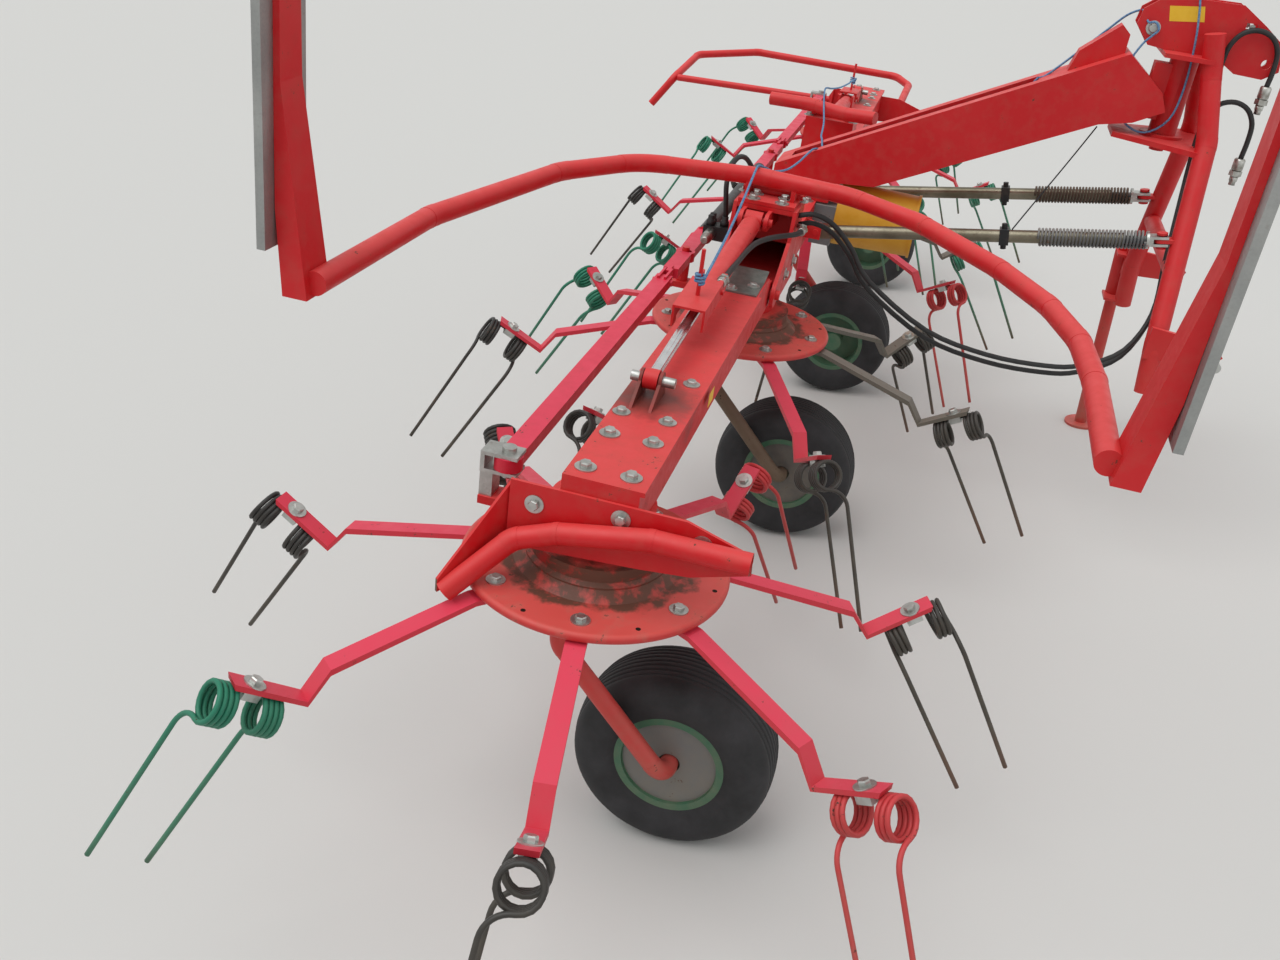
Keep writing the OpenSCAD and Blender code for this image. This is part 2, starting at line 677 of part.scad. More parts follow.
// Tapered post at an end of the guard tube
module post(s) {
    foot = post_y[s > 0 ? 0 : 1][0];
    face = post_y[s > 0 ? 0 : 1][1];
    z = post_z;
    web = [[foot, z[0]], [face, z[1]], [face, z[2]], [face + post_edge, z[2]], [face + post_edge, 1300],
        [face + post_edge - 1, 1156], [foot + 47, z[0]]];
    hollow = [[foot + post_t, z[0] - 1], [face + post_t, z[1]], [face + post_t, z[2] + 1], [face + 40, z[2] + 1],
        [face + 40, z[0] - 1]];
    translate([post_x, 0, 0]) mirror([0, s > 0 ? 0 : 1, 0]) difference() {
        intersection() {
            plate_x(web, -post_foot_w, post_foot_w);
            plate_y([[-post_foot_w, z[0]], [post_foot_w, z[0]], [post_top_w, z[2]], [-post_top_w, z[2]]], 500, 900);
        }
        intersection() {
            plate_x(hollow, -post_foot_w, post_foot_w);
            plate_y([[post_t - post_foot_w, z[0] - 2], [post_foot_w - post_t, z[0] - 2],
                [post_top_w - post_t, z[2] + 2], [post_t - post_top_w, z[2] + 2]], 500, 900);
        }
    }
}

// Warning boards on the posts
module boards() {
    leaned() color(red)
        for (s = [-1, 1]) {
            y = post_y[s > 0 ? 0 : 1][1] + post_edge + gap;
            mirror([0, s > 0 ? 0 : 1, 0])
                block([post_x - board_w / 2, y, board_z], [post_x + board_w / 2, y + board_t, board_z + board_l]);
        }
}

// Stub of the guard tube on the left tower
module guard_left() {
    z = 1012;
    leaned() color(red) {
        bent_tube([[-610, -205, z - 8], [-585, -60, z], [-520, 60, z], [-480, 175, z + 10]], guard_d / 2, 180);
        block([-tower_x1, -56, tower_top], [-600, 92, tower_top + 10]);
        for (y = [-50, 66])
            block([-640, y, tower_top + 9], [-570, y + 12, z]);
    }
}

// Barrel of a fold cylinder
module barrel(side) {
    leaned() sided(side) translate(cyl_base) rotate([0, 90 + cyl_slope, 0]) color(red) {
        difference() {
            union() {
                translate([0, 0, 15]) cylinder(h = 36, r = 17);
                translate([0, 0, 50]) cylinder(h = barrel_l - 50, r = cyl_barrel_r);
                rotate([90, 0, 0]) translate([0, 0, -22]) cylinder(h = 44, r = 24);
            }
            rotate([90, 0, 0]) translate([0, 0, -23]) cylinder(h = 46, r = cyl_pin_r + gap);
            translate([0, 0, 70]) cylinder(h = barrel_l, r = cyl_rod_r + gap);
            translate([0, 0, 70]) cylinder(h = barrel_l - 90, r = cyl_barrel_r - 5);
        }
        for (y = [-lock_ear[1], lock_ear[0]])
            difference() {
                block([-lock_pin_h - 10, y, lock_ear_s[0]], [12, y + lock_ear[1] - lock_ear[0], lock_ear_s[1]]);
                bar([-lock_pin_h, y - 1, lock_pin_s], [-lock_pin_h, y + 9, lock_pin_s], lock_pin_r + gap);
            }
    }
}

// Lock on the end of a fold cylinder: a hooked channel over the rod with its pull lever
module lock(side) {
    leg = [lock_ear[1] + gap, lock_ear[1] + 5];
    leaned() sided(side) translate(cyl_base) rotate([0, 90 + cyl_slope, 0]) color(red) {
        block([-lock_top_h[1], -leg[1], lock_s[0]], [-lock_top_h[0], leg[1], lock_s[1]]);
        for (y = [-leg[1], leg[0]]) {
            block([-lock_top_h[1], y, lock_s[0]], [-4, y + leg[1] - leg[0], lock_s[1]]);
            block([-5, y, lock_s[1] - 30], [10, y + leg[1] - leg[0], lock_s[1]]);
        }
        bar([-lock_pin_h, -leg[1] - 6, lock_pin_s], [-lock_pin_h, leg[1] + 6, lock_pin_s], lock_pin_r);
        bar([1 - lock_top_h[1], 0, 640], [-140, 0, 640], 4.5);
    }
}

// Piston rod of a fold cylinder with its eye
module piston(side) {
    leaned() sided(side) translate(cyl_base) rotate([0, 90 + cyl_slope, 0]) color(zinc) {
        difference() {
            union() {
                translate([0, 0, 340]) cylinder(h = cyl_len - 355, r = cyl_rod_r);
                translate([0, 0, cyl_len]) rotate([90, 0, 0]) translate([0, 0, -cyl_eye_w / 2])
                    cylinder(h = cyl_eye_w, r = cyl_eye_r);
            }
            translate([0, 0, cyl_len]) rotate([90, 0, 0]) translate([0, 0, -cyl_eye_w / 2 - 1])
                cylinder(h = cyl_eye_w + 2, r = cyl_pin_r + gap);
        }
        translate([0, 0, 340]) cylinder(h = 20, r = cyl_barrel_r - 5 - gap);
    }
}

// Slot for a lever's pin, which swings forward a little as the lever turns
module tie_slot(x) {
    r = tie_pin_r + 0.8;
    for (y = [0, tie_play])
        translate([x, tie_y + y, tie_z - tie_t]) cylinder(h = 2 * tie_t, r = r);
    block([x - r, tie_y, tie_z - tie_t], [x + r, tie_y + tie_play, tie_z + tie_t]);
}

// Tie rod along a wing, from the outer lever to the link at the fold
module tie_rod(side) {
    end_x = rotor_pitch * 1.5;
    leaned() sided(side) color(red) {
        difference() {
            union() {
                block([tie_x + 20, tie_y - tie_w / 2, tie_z - tie_t / 2], [end_x - 10, tie_y + tie_w / 2, tie_z + tie_t / 2]);
                translate([end_x, tie_y, tie_z - tie_t / 2]) cylinder(h = tie_t, r = tie_eye_r);
            }
            tie_slot(end_x);
        }
        for (y = [-12, 6])
            block([tie_x - 16, tie_y + y, tie_z - 20], [tie_x + 60, tie_y + y + 6, tie_z + 20]);
        bar_y(tie_x + 40, tie_z, tie_y - 26, tie_y + 26, 8);
    }
}

// Middle tie rod with the adjuster tube
module tie_centre() {
    eye_x = rotor_pitch / 2;
    leaned() color(black) {
        difference() {
            union() {
                for (s = [-1, 1])
                    sided(s) {
                        block([420, tie_y - tie_w / 2, tie_z - tie_t / 2], [830, tie_y + tie_w / 2, tie_z + tie_t / 2]);
                        translate([eye_x, tie_y, tie_z - tie_t / 2]) cylinder(h = tie_t, r = tie_eye_r);
                        block([820, tie_y - 5, tie_z - 18], [tie_x, tie_y + 5, tie_z + 18]);
                    }
                bar([-440, tie_y, tie_z], [440, tie_y, tie_z], 21);
            }
            for (s = [-1, 1])
                tie_slot(s * eye_x);
        }
    }
}

// Point on the jack's centre line
function jack_at(s) = jack_top + s * (jack_foot - jack_top) / norm(jack_foot - jack_top);

// Swivelling headstock: bent tubes, lower pins, swivel plates and cross bars
module headstock() {
    low = bush_z0 - 8;
    y = frame_tube_y;
    lug_z = [[1075, 690], [1075, 780], [1240, 768], [1272, 735], [1240, 700]];
    leaned() color(red) {
        for (s = [-1, 1])
            sided(s) {
                bent_tube([[92, 1040, 1500], [92, 1062, 1400], [150, y, 1230], [foot_x, y, 720], [foot_x + 15, y + 12, 592]],
                    frame_tube_r, 120);
                plate_x(lug_z, link_span / 2 - 14, link_span / 2);
                block([foot_x - 10, y - 15, 700], [link_span / 2 - 1, y + 10, 770]);
                bar([link_span / 2 - 20, link_y, link_z], [link_span / 2 + 95, link_y, link_z], link_pin_d / 2);
                bar([link_span / 2 - 28, link_y, link_z], [link_span / 2 + 1, link_y, link_z], 26);
                translate([damper_x, damper_y0, damper_z0]) rotate([-90 + damper_slope, 0, 0]) {
                    block([-20, -5, damper_l], [20, 5, damper_l + 44]);
                    translate([0, 0, damper_l]) rotate([90, 0, 0]) translate([0, 0, -5]) cylinder(h = 10, r = 20);
                    bar([0, -22, damper_l], [0, 22, damper_l], fork_pin_r);
                    for (h = [-22, 16])
                        bar([0, h, damper_l], [0, h + 6, damper_l], fork_pin_r + 6);
                }
            }
        bar([-300, y, 905], [300, y, 905], 24);
        difference() {
            union() {
                bar(jack_at(20), jack_at(190), jack_sleeve_r);
                for (z = ear_places)
                    block([jack_top.x - 30, 1048, z], [-foot_x, y + 8, z + ear_t]);
            }
            bar(jack_at(-40), jack_at(260), jack_r + gap);
        }
        translate([0, swivel_y, low - 40]) cylinder(h = bush_z1 + head_plate_t + 2 - low + 40, r = swivel_r);
        translate([0, swivel_y, low - 1]) cylinder(h = 9 - gap, r = 60);
        translate([0, 0, low - swivel_plate_t]) linear_extrude(swivel_plate_t)
            polygon([[-75, 862], [75, 862], [185, y - 15], [185, y + 12], [-185, y + 12], [-185, y - 15]]);
        block([-120, 930, bush_z1 + gap], [120, 1060, bush_z1 + head_plate_t]);
    }
}

// Two side plates over the swivel with the top link hole
module top_bracket() {
    base = bush_z1 + head_plate_t + gap;
    outline = [[888, base + 4], [846, 1490], [852, 1530], [905, 1572], [1099, 1575], [1169, 1532], [1228, 1490],
        [1236, 1425], [1200, 1400], [1126, 1403], [1070, base], [930, base]];
    leaned() color(red) {
        for (x = [-38, 28])
            difference() {
                plate_x(outline, x, x + 10);
                translate([-80, top_link.y, top_link.z]) rotate([0, 90, 0]) cylinder(h = 160, r = top_link_r);
                block([-80, 1118, 1514], [80, 1148, 1534]);
            }
        bar([-48, 889, 1485], [48, 889, 1485], 11);
        block([-29, 1000, 1560], [29, 1090, 1570]);
    }
}

// Parking jack: sliding leg with its foot
module jack_leg() {
    color(red) {
        leaned() {
            bar(jack_top, jack_foot, jack_r);
            bar(jack_top + [-30, 0, 0], jack_top + [20, 0, 0], 8);
        }
        placed() translate([jack_foot.x, 1112, 0]) cylinder(h = 8, r = 60);
    }
}

// Damper tube with its clevis at the centre frame
module damper_tube(side) {
    eye = damper_eye_w / 2;
    joint = damper_joint_s;
    leaned() sided(side) translate([damper_x, damper_y0, damper_z0]) rotate([-90 + damper_slope, 0, 0]) color(black) {
        difference() {
            union() {
                translate([0, 0, damper_tube_s[0]]) cylinder(h = damper_tube_s[1] - damper_tube_s[0], r = damper_tube_r);
                block([-eye, -20, -20], [eye, 20, 52]);
                block([-20, -22, joint[0]], [20, 22, joint[1]]);
                translate([0, 0, damper_slim_s[0]]) cylinder(h = damper_slim_s[1] - damper_slim_s[0], r = damper_tube_r);
            }
            translate([0, 0, joint[1] + 12]) cylinder(h = damper_slim_s[1] - joint[1], r = damper_rod_r + gap);
            rotate([0, 90, 0]) translate([0, 0, -eye - 1]) cylinder(h = damper_eye_w + 2, r = damper_pin_r + gap);
        }
        bar([0, -36, 531], [0, 36, 531], fork_pin_r);
    }
}

// Damper rod with its spring and eye at the headstock
module damper_rod(side) {
    eye_r = 14.5;
    leaned() sided(side) translate([damper_x, damper_y0, damper_z0]) rotate([-90 + damper_slope, 0, 0]) color(zinc) {
        translate([0, 0, damper_rod_s]) cylinder(h = fork_s[0] + 2 - damper_rod_s, r = damper_rod_r);
        translate([0, 0, spring_s[1]]) cylinder(h = fork_s[0] + 1 - spring_s[1], r = 24);
        block([-20, -13.5, fork_s[0]], [20, 13.5, fork_s[0] + 12]);
        difference() {
            for (h = [-13.5, 6.5])
                block([-20, h, fork_s[0] + 11], [20, h + 7, fork_s[1]]);
            bar([0, -30, damper_l], [0, 30, damper_l], eye_r);
        }
    }
}

// Spring round a damper, from its slim tube to the disc on the rod
module spring(side) {
    ring_r = 23;
    turns = floor((spring_s[1] - spring_s[0]) / spring_pitch);
    leaned() sided(side) translate([damper_x, damper_y0, damper_z0]) rotate([-90 + damper_slope, 0, 0]) color(black)
        rotate_extrude() {
            translate([20.6, spring_s[0]]) square([1.4, spring_s[1] - gap - spring_s[0]]);
            for (i = [0 : turns - 1])
                translate([ring_r, spring_s[0] + (i + 0.5) * spring_pitch]) circle(spring_wire_r, $fn = 16);
        }
}

centre_frame();
gearbox();
pto_guard();
drawbar();
wing_beam(1);  // wing_beam_right
wing_beam(-1);  // wing_beam_left
end_guard(1);  // end_guard_right
end_guard(-1);  // end_guard_left
cover(1);  // cover_right
cover(-1);  // cover_left
rotor_plate(1);  // plate_1
rotor_plate(2);  // plate_2
rotor_plate(3);  // plate_3
rotor_plate(4);  // plate_4
rotor_arms(1);  // arms_1
rotor_arms(2);  // arms_2
rotor_arms(3);  // arms_3
rotor_arms(4);  // arms_4
rotor_tines(1);  // tines_1
rotor_tines(2);  // tines_2
rotor_tines(3);  // tines_3
rotor_tines(4);  // tines_4
wheel_leg(1);  // leg_1
wheel_leg(2);  // leg_2
wheel_leg(3);  // leg_3
wheel_leg(4);  // leg_4
tyre(1);  // tyre_1
tyre(2);  // tyre_2
tyre(3);  // tyre_3
tyre(4);  // tyre_4
rim(1);  // rim_1
rim(2);  // rim_2
rim(3);  // rim_3
rim(4);  // rim_4
guard_right();
guard_left();
boards();
barrel(1);  // barrel_right
barrel(-1);  // barrel_left
piston(1);  // piston_right
piston(-1);  // piston_left
tie_rod(1);  // tie_rod_right
tie_rod(-1);  // tie_rod_left
tie_centre();
headstock();
top_bracket();
jack_leg();
lock(1);  // lock_right
lock(-1);  // lock_left
damper_tube(1);  // damper_tube_right
damper_tube(-1);  // damper_tube_left
damper_rod(1);  // damper_rod_right
damper_rod(-1);  // damper_rod_left
spring(1);  // spring_right
spring(-1);  // spring_left
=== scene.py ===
# %% [markdown]
# # A four-rotor hay tedder, parked
# The CAD model gives every solid of the machine in its place. This lesson dresses it: paint that
# has faded and chipped, tyres with ribs, coil tines, bolts, hoses and rope. Everything is in
# metres, in the frame of the CAD model, so a new piece is put where the machine carries it.

# %% Load the machine
import math
import bpy
from mathutils import Matrix, Vector


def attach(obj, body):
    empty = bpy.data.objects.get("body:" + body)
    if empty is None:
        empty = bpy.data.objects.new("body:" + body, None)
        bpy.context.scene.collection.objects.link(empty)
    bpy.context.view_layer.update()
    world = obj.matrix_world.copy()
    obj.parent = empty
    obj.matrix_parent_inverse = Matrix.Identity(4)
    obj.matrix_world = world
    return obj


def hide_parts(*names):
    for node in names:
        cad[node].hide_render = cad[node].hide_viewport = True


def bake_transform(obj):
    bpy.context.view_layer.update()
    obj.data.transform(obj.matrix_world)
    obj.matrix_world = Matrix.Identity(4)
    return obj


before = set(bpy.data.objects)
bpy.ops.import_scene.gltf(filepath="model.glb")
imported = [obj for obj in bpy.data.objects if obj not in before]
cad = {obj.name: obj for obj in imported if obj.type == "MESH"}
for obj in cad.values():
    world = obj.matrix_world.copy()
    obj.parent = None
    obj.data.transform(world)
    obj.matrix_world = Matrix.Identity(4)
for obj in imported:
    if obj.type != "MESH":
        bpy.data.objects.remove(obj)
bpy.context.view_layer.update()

# %% [markdown]
# ## Where things are
# The machine leans forward by six degrees about its wheel hubs, because the parking jack is
# short. Its drawings are level, so one function turns a level point in millimetres into a
# point of the scene.

# %% From the level drawing to the scene
MM = 0.001
LEAN = math.radians(6)
HUB_Y, HUB_Z = 190, 203
MIDDLE_X, MIDDLE_Y = 6.9, 196.3
level_to_scene = (Matrix.Diagonal((MM, MM, MM, 1))
                  @ Matrix.Translation((-MIDDLE_X, HUB_Y - MIDDLE_Y, HUB_Z))
                  @ Matrix.Rotation(-LEAN, 4, "X")
                  @ Matrix.Translation((0, -HUB_Y, -HUB_Z)))
back_to_level = level_to_scene.inverted()

def level(x, y, z):
    return level_to_scene @ Vector((x, y, z))

ROTOR_X = (1995, 665, -665, -1995)
PLATE_TOP = 645
print("first rotor's plate is at", [round(v, 3) for v in level(ROTOR_X[0], 0, PLATE_TOP)])

# %% [markdown]
# ## Camera
# The photograph was taken from just past the end of the first rotor, from standing eye height,
# looking along the wings and 27 degrees down. The lens and the place were worked out from
# points of known size on the wheels and rotors, so they are simply written here.

# %% Camera where the photograph was taken
YAW, PITCH, ROLL = math.radians(14.68), math.radians(26.98), math.radians(1.588)
FOCAL_PIXELS, PICTURE_WIDTH, SENSOR_WIDTH = 1216.3, 1280, 36
ahead = Vector((-math.cos(YAW) * math.cos(PITCH), -math.sin(YAW) * math.cos(PITCH), -math.sin(PITCH)))
flat_right = ahead.cross(Vector((0, 0, 1))).normalized()
flat_up = flat_right.cross(ahead)
right = flat_right * math.cos(ROLL) + flat_up * math.sin(ROLL)
up = flat_up * math.cos(ROLL) - flat_right * math.sin(ROLL)
place = Vector((3.795 - MIDDLE_X / 1000, 0.595 - MIDDLE_Y / 1000, 1.776))
lens = bpy.data.cameras.new("camera")
lens.sensor_width = SENSOR_WIDTH
lens.lens = SENSOR_WIDTH * FOCAL_PIXELS / PICTURE_WIDTH
camera = bpy.data.objects.new("camera", lens)
camera.matrix_world = Matrix.Translation(place) @ Matrix((right, up, -ahead)).transposed().to_4x4()
bpy.context.scene.collection.objects.link(camera)
bpy.context.scene.camera = camera
print("camera at", [round(v, 3) for v in place], "lens", round(lens.lens, 1), "mm")

# %% [markdown]
# ## Colours and nodes
# Colours are picked as sRGB hex values and turned to linear light by one function. A material is
# a small graph, and one function adds a node to it with its settings and its links.

# %% One function for colours and one for nodes
def linear(hex_colour):
    parts = [int(hex_colour[i:i + 2], 16) / 255 for i in (1, 3, 5)]
    return tuple(c / 12.92 if c <= 0.04045 else ((c + 0.055) / 1.055) ** 2.4 for c in parts) + (1,)

def add(tree, kind, settings=None, **sockets):
    """A socket is given by its name, or by its number behind a low line."""
    made = tree.nodes.new("ShaderNode" + kind)
    for name, value in (settings or {}).items():
        setattr(made, name, value)
    for name, value in sockets.items():
        key = int(name[1:]) if name[1:].isdigit() else name.replace("_", " ")
        target = made.inputs[key]
        if isinstance(value, bpy.types.NodeSocket):
            tree.links.new(value, target)
        else:
            target.default_value = value
    return made

print("fresh red in linear light", [round(c, 3) for c in linear("#C8181E")])

# %% Helpers for materials
def new_material(name, **shader):
    made = bpy.data.materials.new(name)
    made.use_nodes = True
    tree = made.node_tree
    tree.nodes.clear()
    surface = add(tree, "BsdfPrincipled", None, **shader)
    add(tree, "OutputMaterial", None, Surface=surface.outputs[0])
    return made, tree, surface

def ramp(tree, value, stops):
    """Colours or shares of white at places from 0 to 1, with a smooth passage between them."""
    made = add(tree, "ValToRGB", None, Fac=value)
    band = made.color_ramp
    while len(band.elements) < len(stops):
        band.elements.new(0.5)
    for element, (at, colour) in zip(band.elements, stops):
        element.position = at
        element.color = linear(colour) if isinstance(colour, str) else (colour, colour, colour, 1)
    return made.outputs[0]

def speckle(tree, where, size_mm, detail=3, rough=0.55):
    """Cloudy noise whose blots are about size_mm wide."""
    noise = add(tree, "TexNoise", None, Vector=where, Scale=1000 / size_mm, Detail=detail, Roughness=rough)
    return noise.outputs[0]

def laid_over(tree, mask, under, hex_colour):
    return add(tree, "Mix", {"data_type": "RGBA"}, _0=mask, _6=under, _7=linear(hex_colour)).outputs[2]

print("a blot of 9 mm needs a noise scale of", round(1000 / 9))

# %% [markdown]
# ## Rubber and plastic
# Tyres and hoses are black rubber filled with soot, which greys as it ages. The guard round the
# drive shaft is moulded polyethylene, coloured right through and scuffed paler. The ropes are
# twisted plastic yarn, and the stickers are smooth vinyl. The real grain of all of them is too
# fine to show, so it is drawn three millimetres wide.

# %% Rubber and moulded plastic
def plain_mould(name, colour, worn, rough, size_mm, bump_mm=0.3):
    made, tree, surface = new_material(name, Metallic=0.0, IOR=1.5, Specular_IOR_Level=0.4)
    where = add(tree, "TexCoord").outputs["Object"]
    cloud = speckle(tree, where, size_mm, 5, 0.6)
    fine = speckle(tree, where, 3, 3)
    tree.links.new(ramp(tree, cloud, [(0.3, colour), (0.72, worn)]), surface.inputs["Base Color"])
    roughness = add(tree, "MapRange", None, Value=cloud, _1=0.3, _2=0.7, _3=rough - 0.08, _4=rough + 0.08)
    bump = add(tree, "Bump", None, Strength=0.25, Distance=bump_mm / 1000, Height=fine)
    tree.links.new(roughness.outputs[0], surface.inputs["Roughness"])
    tree.links.new(bump.outputs[0], surface.inputs["Normal"])
    return made

tyre_rubber = plain_mould("tyre_rubber", "#1B1B1C", "#39383A", 0.72, 70)
hose_rubber = plain_mould("hose_rubber", "#1C1C1D", "#303030", 0.55, 40)
guard_polyethylene = plain_mould("guard_polyethylene", "#CC8E14", "#D8A23C", 0.5, 90)
blue_rope = plain_mould("blue_rope", "#3A6A9C", "#7FA6C4", 0.85, 6, bump_mm=1.2)
black_cord = plain_mould("black_cord", "#17171A", "#2C2C2E", 0.8, 6, bump_mm=0.6)
yellow_vinyl = plain_mould("yellow_vinyl", "#E8B820", "#F0C63C", 0.45, 40, bump_mm=0.05)
print("six moulded materials")

# %% [markdown]
# ## Shapes from rings and prisms
# Wire, hoses and rope are round rods along a path, and bolts are short six-sided prisms. Both are
# lists of points and faces, so many of them can be joined into one mesh. The points are written
# on the level drawing, in millimetres, and are turned into scene points at the very end.

# %% Rings of points and the skin between them
def frame_at(axis):
    """Two directions square to an axis, and the axis itself at length one."""
    axis = Vector(axis).normalized()
    slanting = Vector((0.31, 0.17, 0.94))
    hint = slanting if abs(axis.dot(slanting)) < 0.9 else Vector((1, 0, 0))
    across = axis.cross(hint).normalized()
    return across, axis.cross(across), axis

def ring(middle, across, other, radius, sides):
    turns = [2 * math.pi * j / sides for j in range(sides)]
    return [middle + (across * math.cos(t) + other * math.sin(t)) * radius for t in turns]

def skin(rings, sides):
    """Faces of a tube of rings, closed at both ends."""
    faces = []
    for low in range(0, (rings - 1) * sides, sides):
        high = low + sides
        for j in range(sides):
            after = (j + 1) % sides
            faces.append((low + j, low + after, high + after, high + j))
    faces.append(tuple(reversed(range(sides))))
    faces.append(tuple(range((rings - 1) * sides, rings * sides)))
    return faces

print("a tube of 3 rings with 6 sides has", len(skin(3, 6)), "faces")

# %% Rods, stacks, slabs and bolts
def rod(path, radius, sides, finish=0):
    """A round bar along a path. Each ring is carried on from the last one, so that it doesn't twist."""
    path = [Vector(p) for p in path]
    last = len(path) - 1
    ways = [(path[min(i + 1, last)] - path[max(i - 1, 0)]).normalized() for i in range(last + 1)]
    across = frame_at(ways[0])[0]
    points = []
    for here, way in zip(path, ways):
        across = (across - way * across.dot(way)).normalized()
        points += ring(here, across, way.cross(across), radius, sides)
    return points, skin(len(path), sides), finish, True

def stack(at, axis, rings, sides, finish=0, smooth=False):
    """Rings (distance along the axis, radius) joined to a solid."""
    across, other, axis = frame_at(axis)
    points = []
    for along, radius in rings:
        points += ring(Vector(at) + axis * along, across, other, radius, sides)
    return points, skin(len(rings), sides), finish, smooth

def slab(outline, thickness):
    """A four-cornered outline, and the same one moved by the thickness."""
    points = [Vector(p) for p in outline]
    points += [p + Vector(thickness) for p in points]
    faces = [(3, 2, 1, 0), (4, 5, 6, 7), (0, 1, 5, 4), (1, 2, 6, 5), (2, 3, 7, 6), (3, 0, 4, 7)]
    return points, faces, 0, False

def bolt(at, axis, flats):
    """A hexagon head, as wide across its flats as its spanner, on a round washer."""
    corner = flats / 2 / math.cos(math.pi / 6)
    tall = flats * 0.6
    head = stack(at, axis, [(0, corner), (tall * 0.8, corner), (tall, corner * 0.86)], 6)
    washer = stack(at, axis, [(0, flats), (2.5, flats), (2.6, flats * 0.98)], 24)
    return [head, washer]

print("a bolt has", sum(len(bit[1]) for bit in bolt((0, 0, 0), (0, 0, 1), 19)), "faces")

# %% One mesh from many bits
def build(name, body, finishes, bits, stands_for=None):
    mesh = bpy.data.meshes.new(name)
    points, faces, marks = [], [], []
    for bit_points, bit_faces, finish, smooth in bits:
        first = len(points)
        points.extend(level_to_scene @ p for p in bit_points)
        faces.extend(tuple(first + i for i in face) for face in bit_faces)
        marks.extend((finish, smooth and len(face) == 4) for face in bit_faces)
    mesh.from_pydata(points, [], faces)
    for finish in finishes:
        mesh.materials.append(finish)
    mesh.polygons.foreach_set("material_index", [m[0] for m in marks])
    mesh.polygons.foreach_set("use_smooth", [m[1] for m in marks])
    mesh.update()
    made = bpy.data.objects.new(name, mesh)
    bpy.context.scene.collection.objects.link(made)
    if body:
        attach(made, body)
    if stands_for:
        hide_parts(stands_for)
    print(name, len(faces), "faces")
    return made

# %% [markdown]
# ## Hoses and ropes
# Two rubber hoses feed the fold cylinders from the tractor, and a shorter one runs along the right
# cylinder. Hoses are stiff, so each is one smooth curve with wide bends. The blue rope unlocks
# the fold from the tractor's seat and is limp. Each is a round rod along a route of corners,
# and the corners are rounded by a curve that passes through all of them. Where one crosses a
# joint it is left on no body, fixed in the scene, so it does not bend as the machine moves.

# %% Smooth routes
def smooth_route(corners, steps):
    """A curve through all the corners, with so many steps from each to the next."""
    corners = [Vector(c) for c in corners]
    ends = [corners[0] * 2 - corners[1]] + corners + [corners[-1] * 2 - corners[-2]]
    route = []
    for a, b, c, d in zip(ends, ends[1:], ends[2:], ends[3:]):
        for i in range(steps):
            t = i / steps
            bend = (2 * a - 5 * b + 4 * c - d) * t * t + (3 * b - a - 3 * c + d) * t ** 3
            route.append(0.5 * (2 * b + (c - a) * t + bend))
    return route + [corners[-1]]

print("two corners with four steps make", len(smooth_route([(0, 0, 0), (1, 0, 0)], 4)), "points")

# %% Cords that are laid along a route
def lay_cord(name, corners, radius, finish, body, crosses=None,
             steps=4):
    """crosses names a second body and two level points, but only whether it is given is used: then the cord
    is left on no body, fixed where it is laid.
    """
    route = smooth_route(corners, steps)
    made = build(name, None if crosses else body, [finish], [rod(route, radius, 10)])
    if crosses:
        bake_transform(made)

# %% [markdown]
# ## Fittings of zinc-plated steel
# The ends of the hoses are turned steel with a thin coat of zinc, which is pale and bright when
# new and greys in clouds. A crimped sleeve grips the hose, and a hexagon nut holds it.

# %% Hose ends and couplers
zinc_fitting, tree, surface = new_material("zinc_fitting", Metallic=1.0, Roughness=0.36)
where = add(tree, "TexCoord").outputs["Object"]
greyed = ramp(tree, speckle(tree, where, 14), [(0.35, "#BFC0BC"), (0.7, "#8F8C84")])
tree.links.new(greyed, surface.inputs["Base Color"])
SLEEVE_R = 11

def fitting(at, axis):
    """A crimped sleeve with a hexagon nut behind it."""
    wide, crimped, nut = SLEEVE_R, SLEEVE_R * 0.9, SLEEVE_R * 1.25
    rings = [(-2, wide * 0.86), (0, wide), (5, wide), (6, crimped), (9, crimped), (10, wide), (22, wide),
             (24, wide * 0.8)]
    return [stack(at, axis, rings, 20, 0, True), stack(at, axis, [(22, nut), (34, nut)], 6)]

def coupler(name, body, at, axis):
    """The plug that is pushed into the tractor's socket."""
    bits = [stack(at, axis, [(0, 12), (4, 15), (30, 15), (34, 12)], 24, 0, True),
            stack(at, axis, [(34, 17), (48, 17)], 6),
            stack(at, axis, [(48, 11), (62, 11), (64, 9), (74, 9)], 20, 0, True)]
    return build(name, body, [zinc_fitting], bits)

print("a sleeve is", 2 * SLEEVE_R, "mm wide")

# %% The two hanging hoses
HOSE_R = 7

def behind_tube(z):
    """A point just inside the headstock's bent tube, where the camera's side of the tube hides it."""
    share = min(1, max(0, (z - 720) / 510))
    tube_x, tube_y = 412 - 262 * share, 1100
    return Vector((tube_x - 62, tube_y - 16, z))

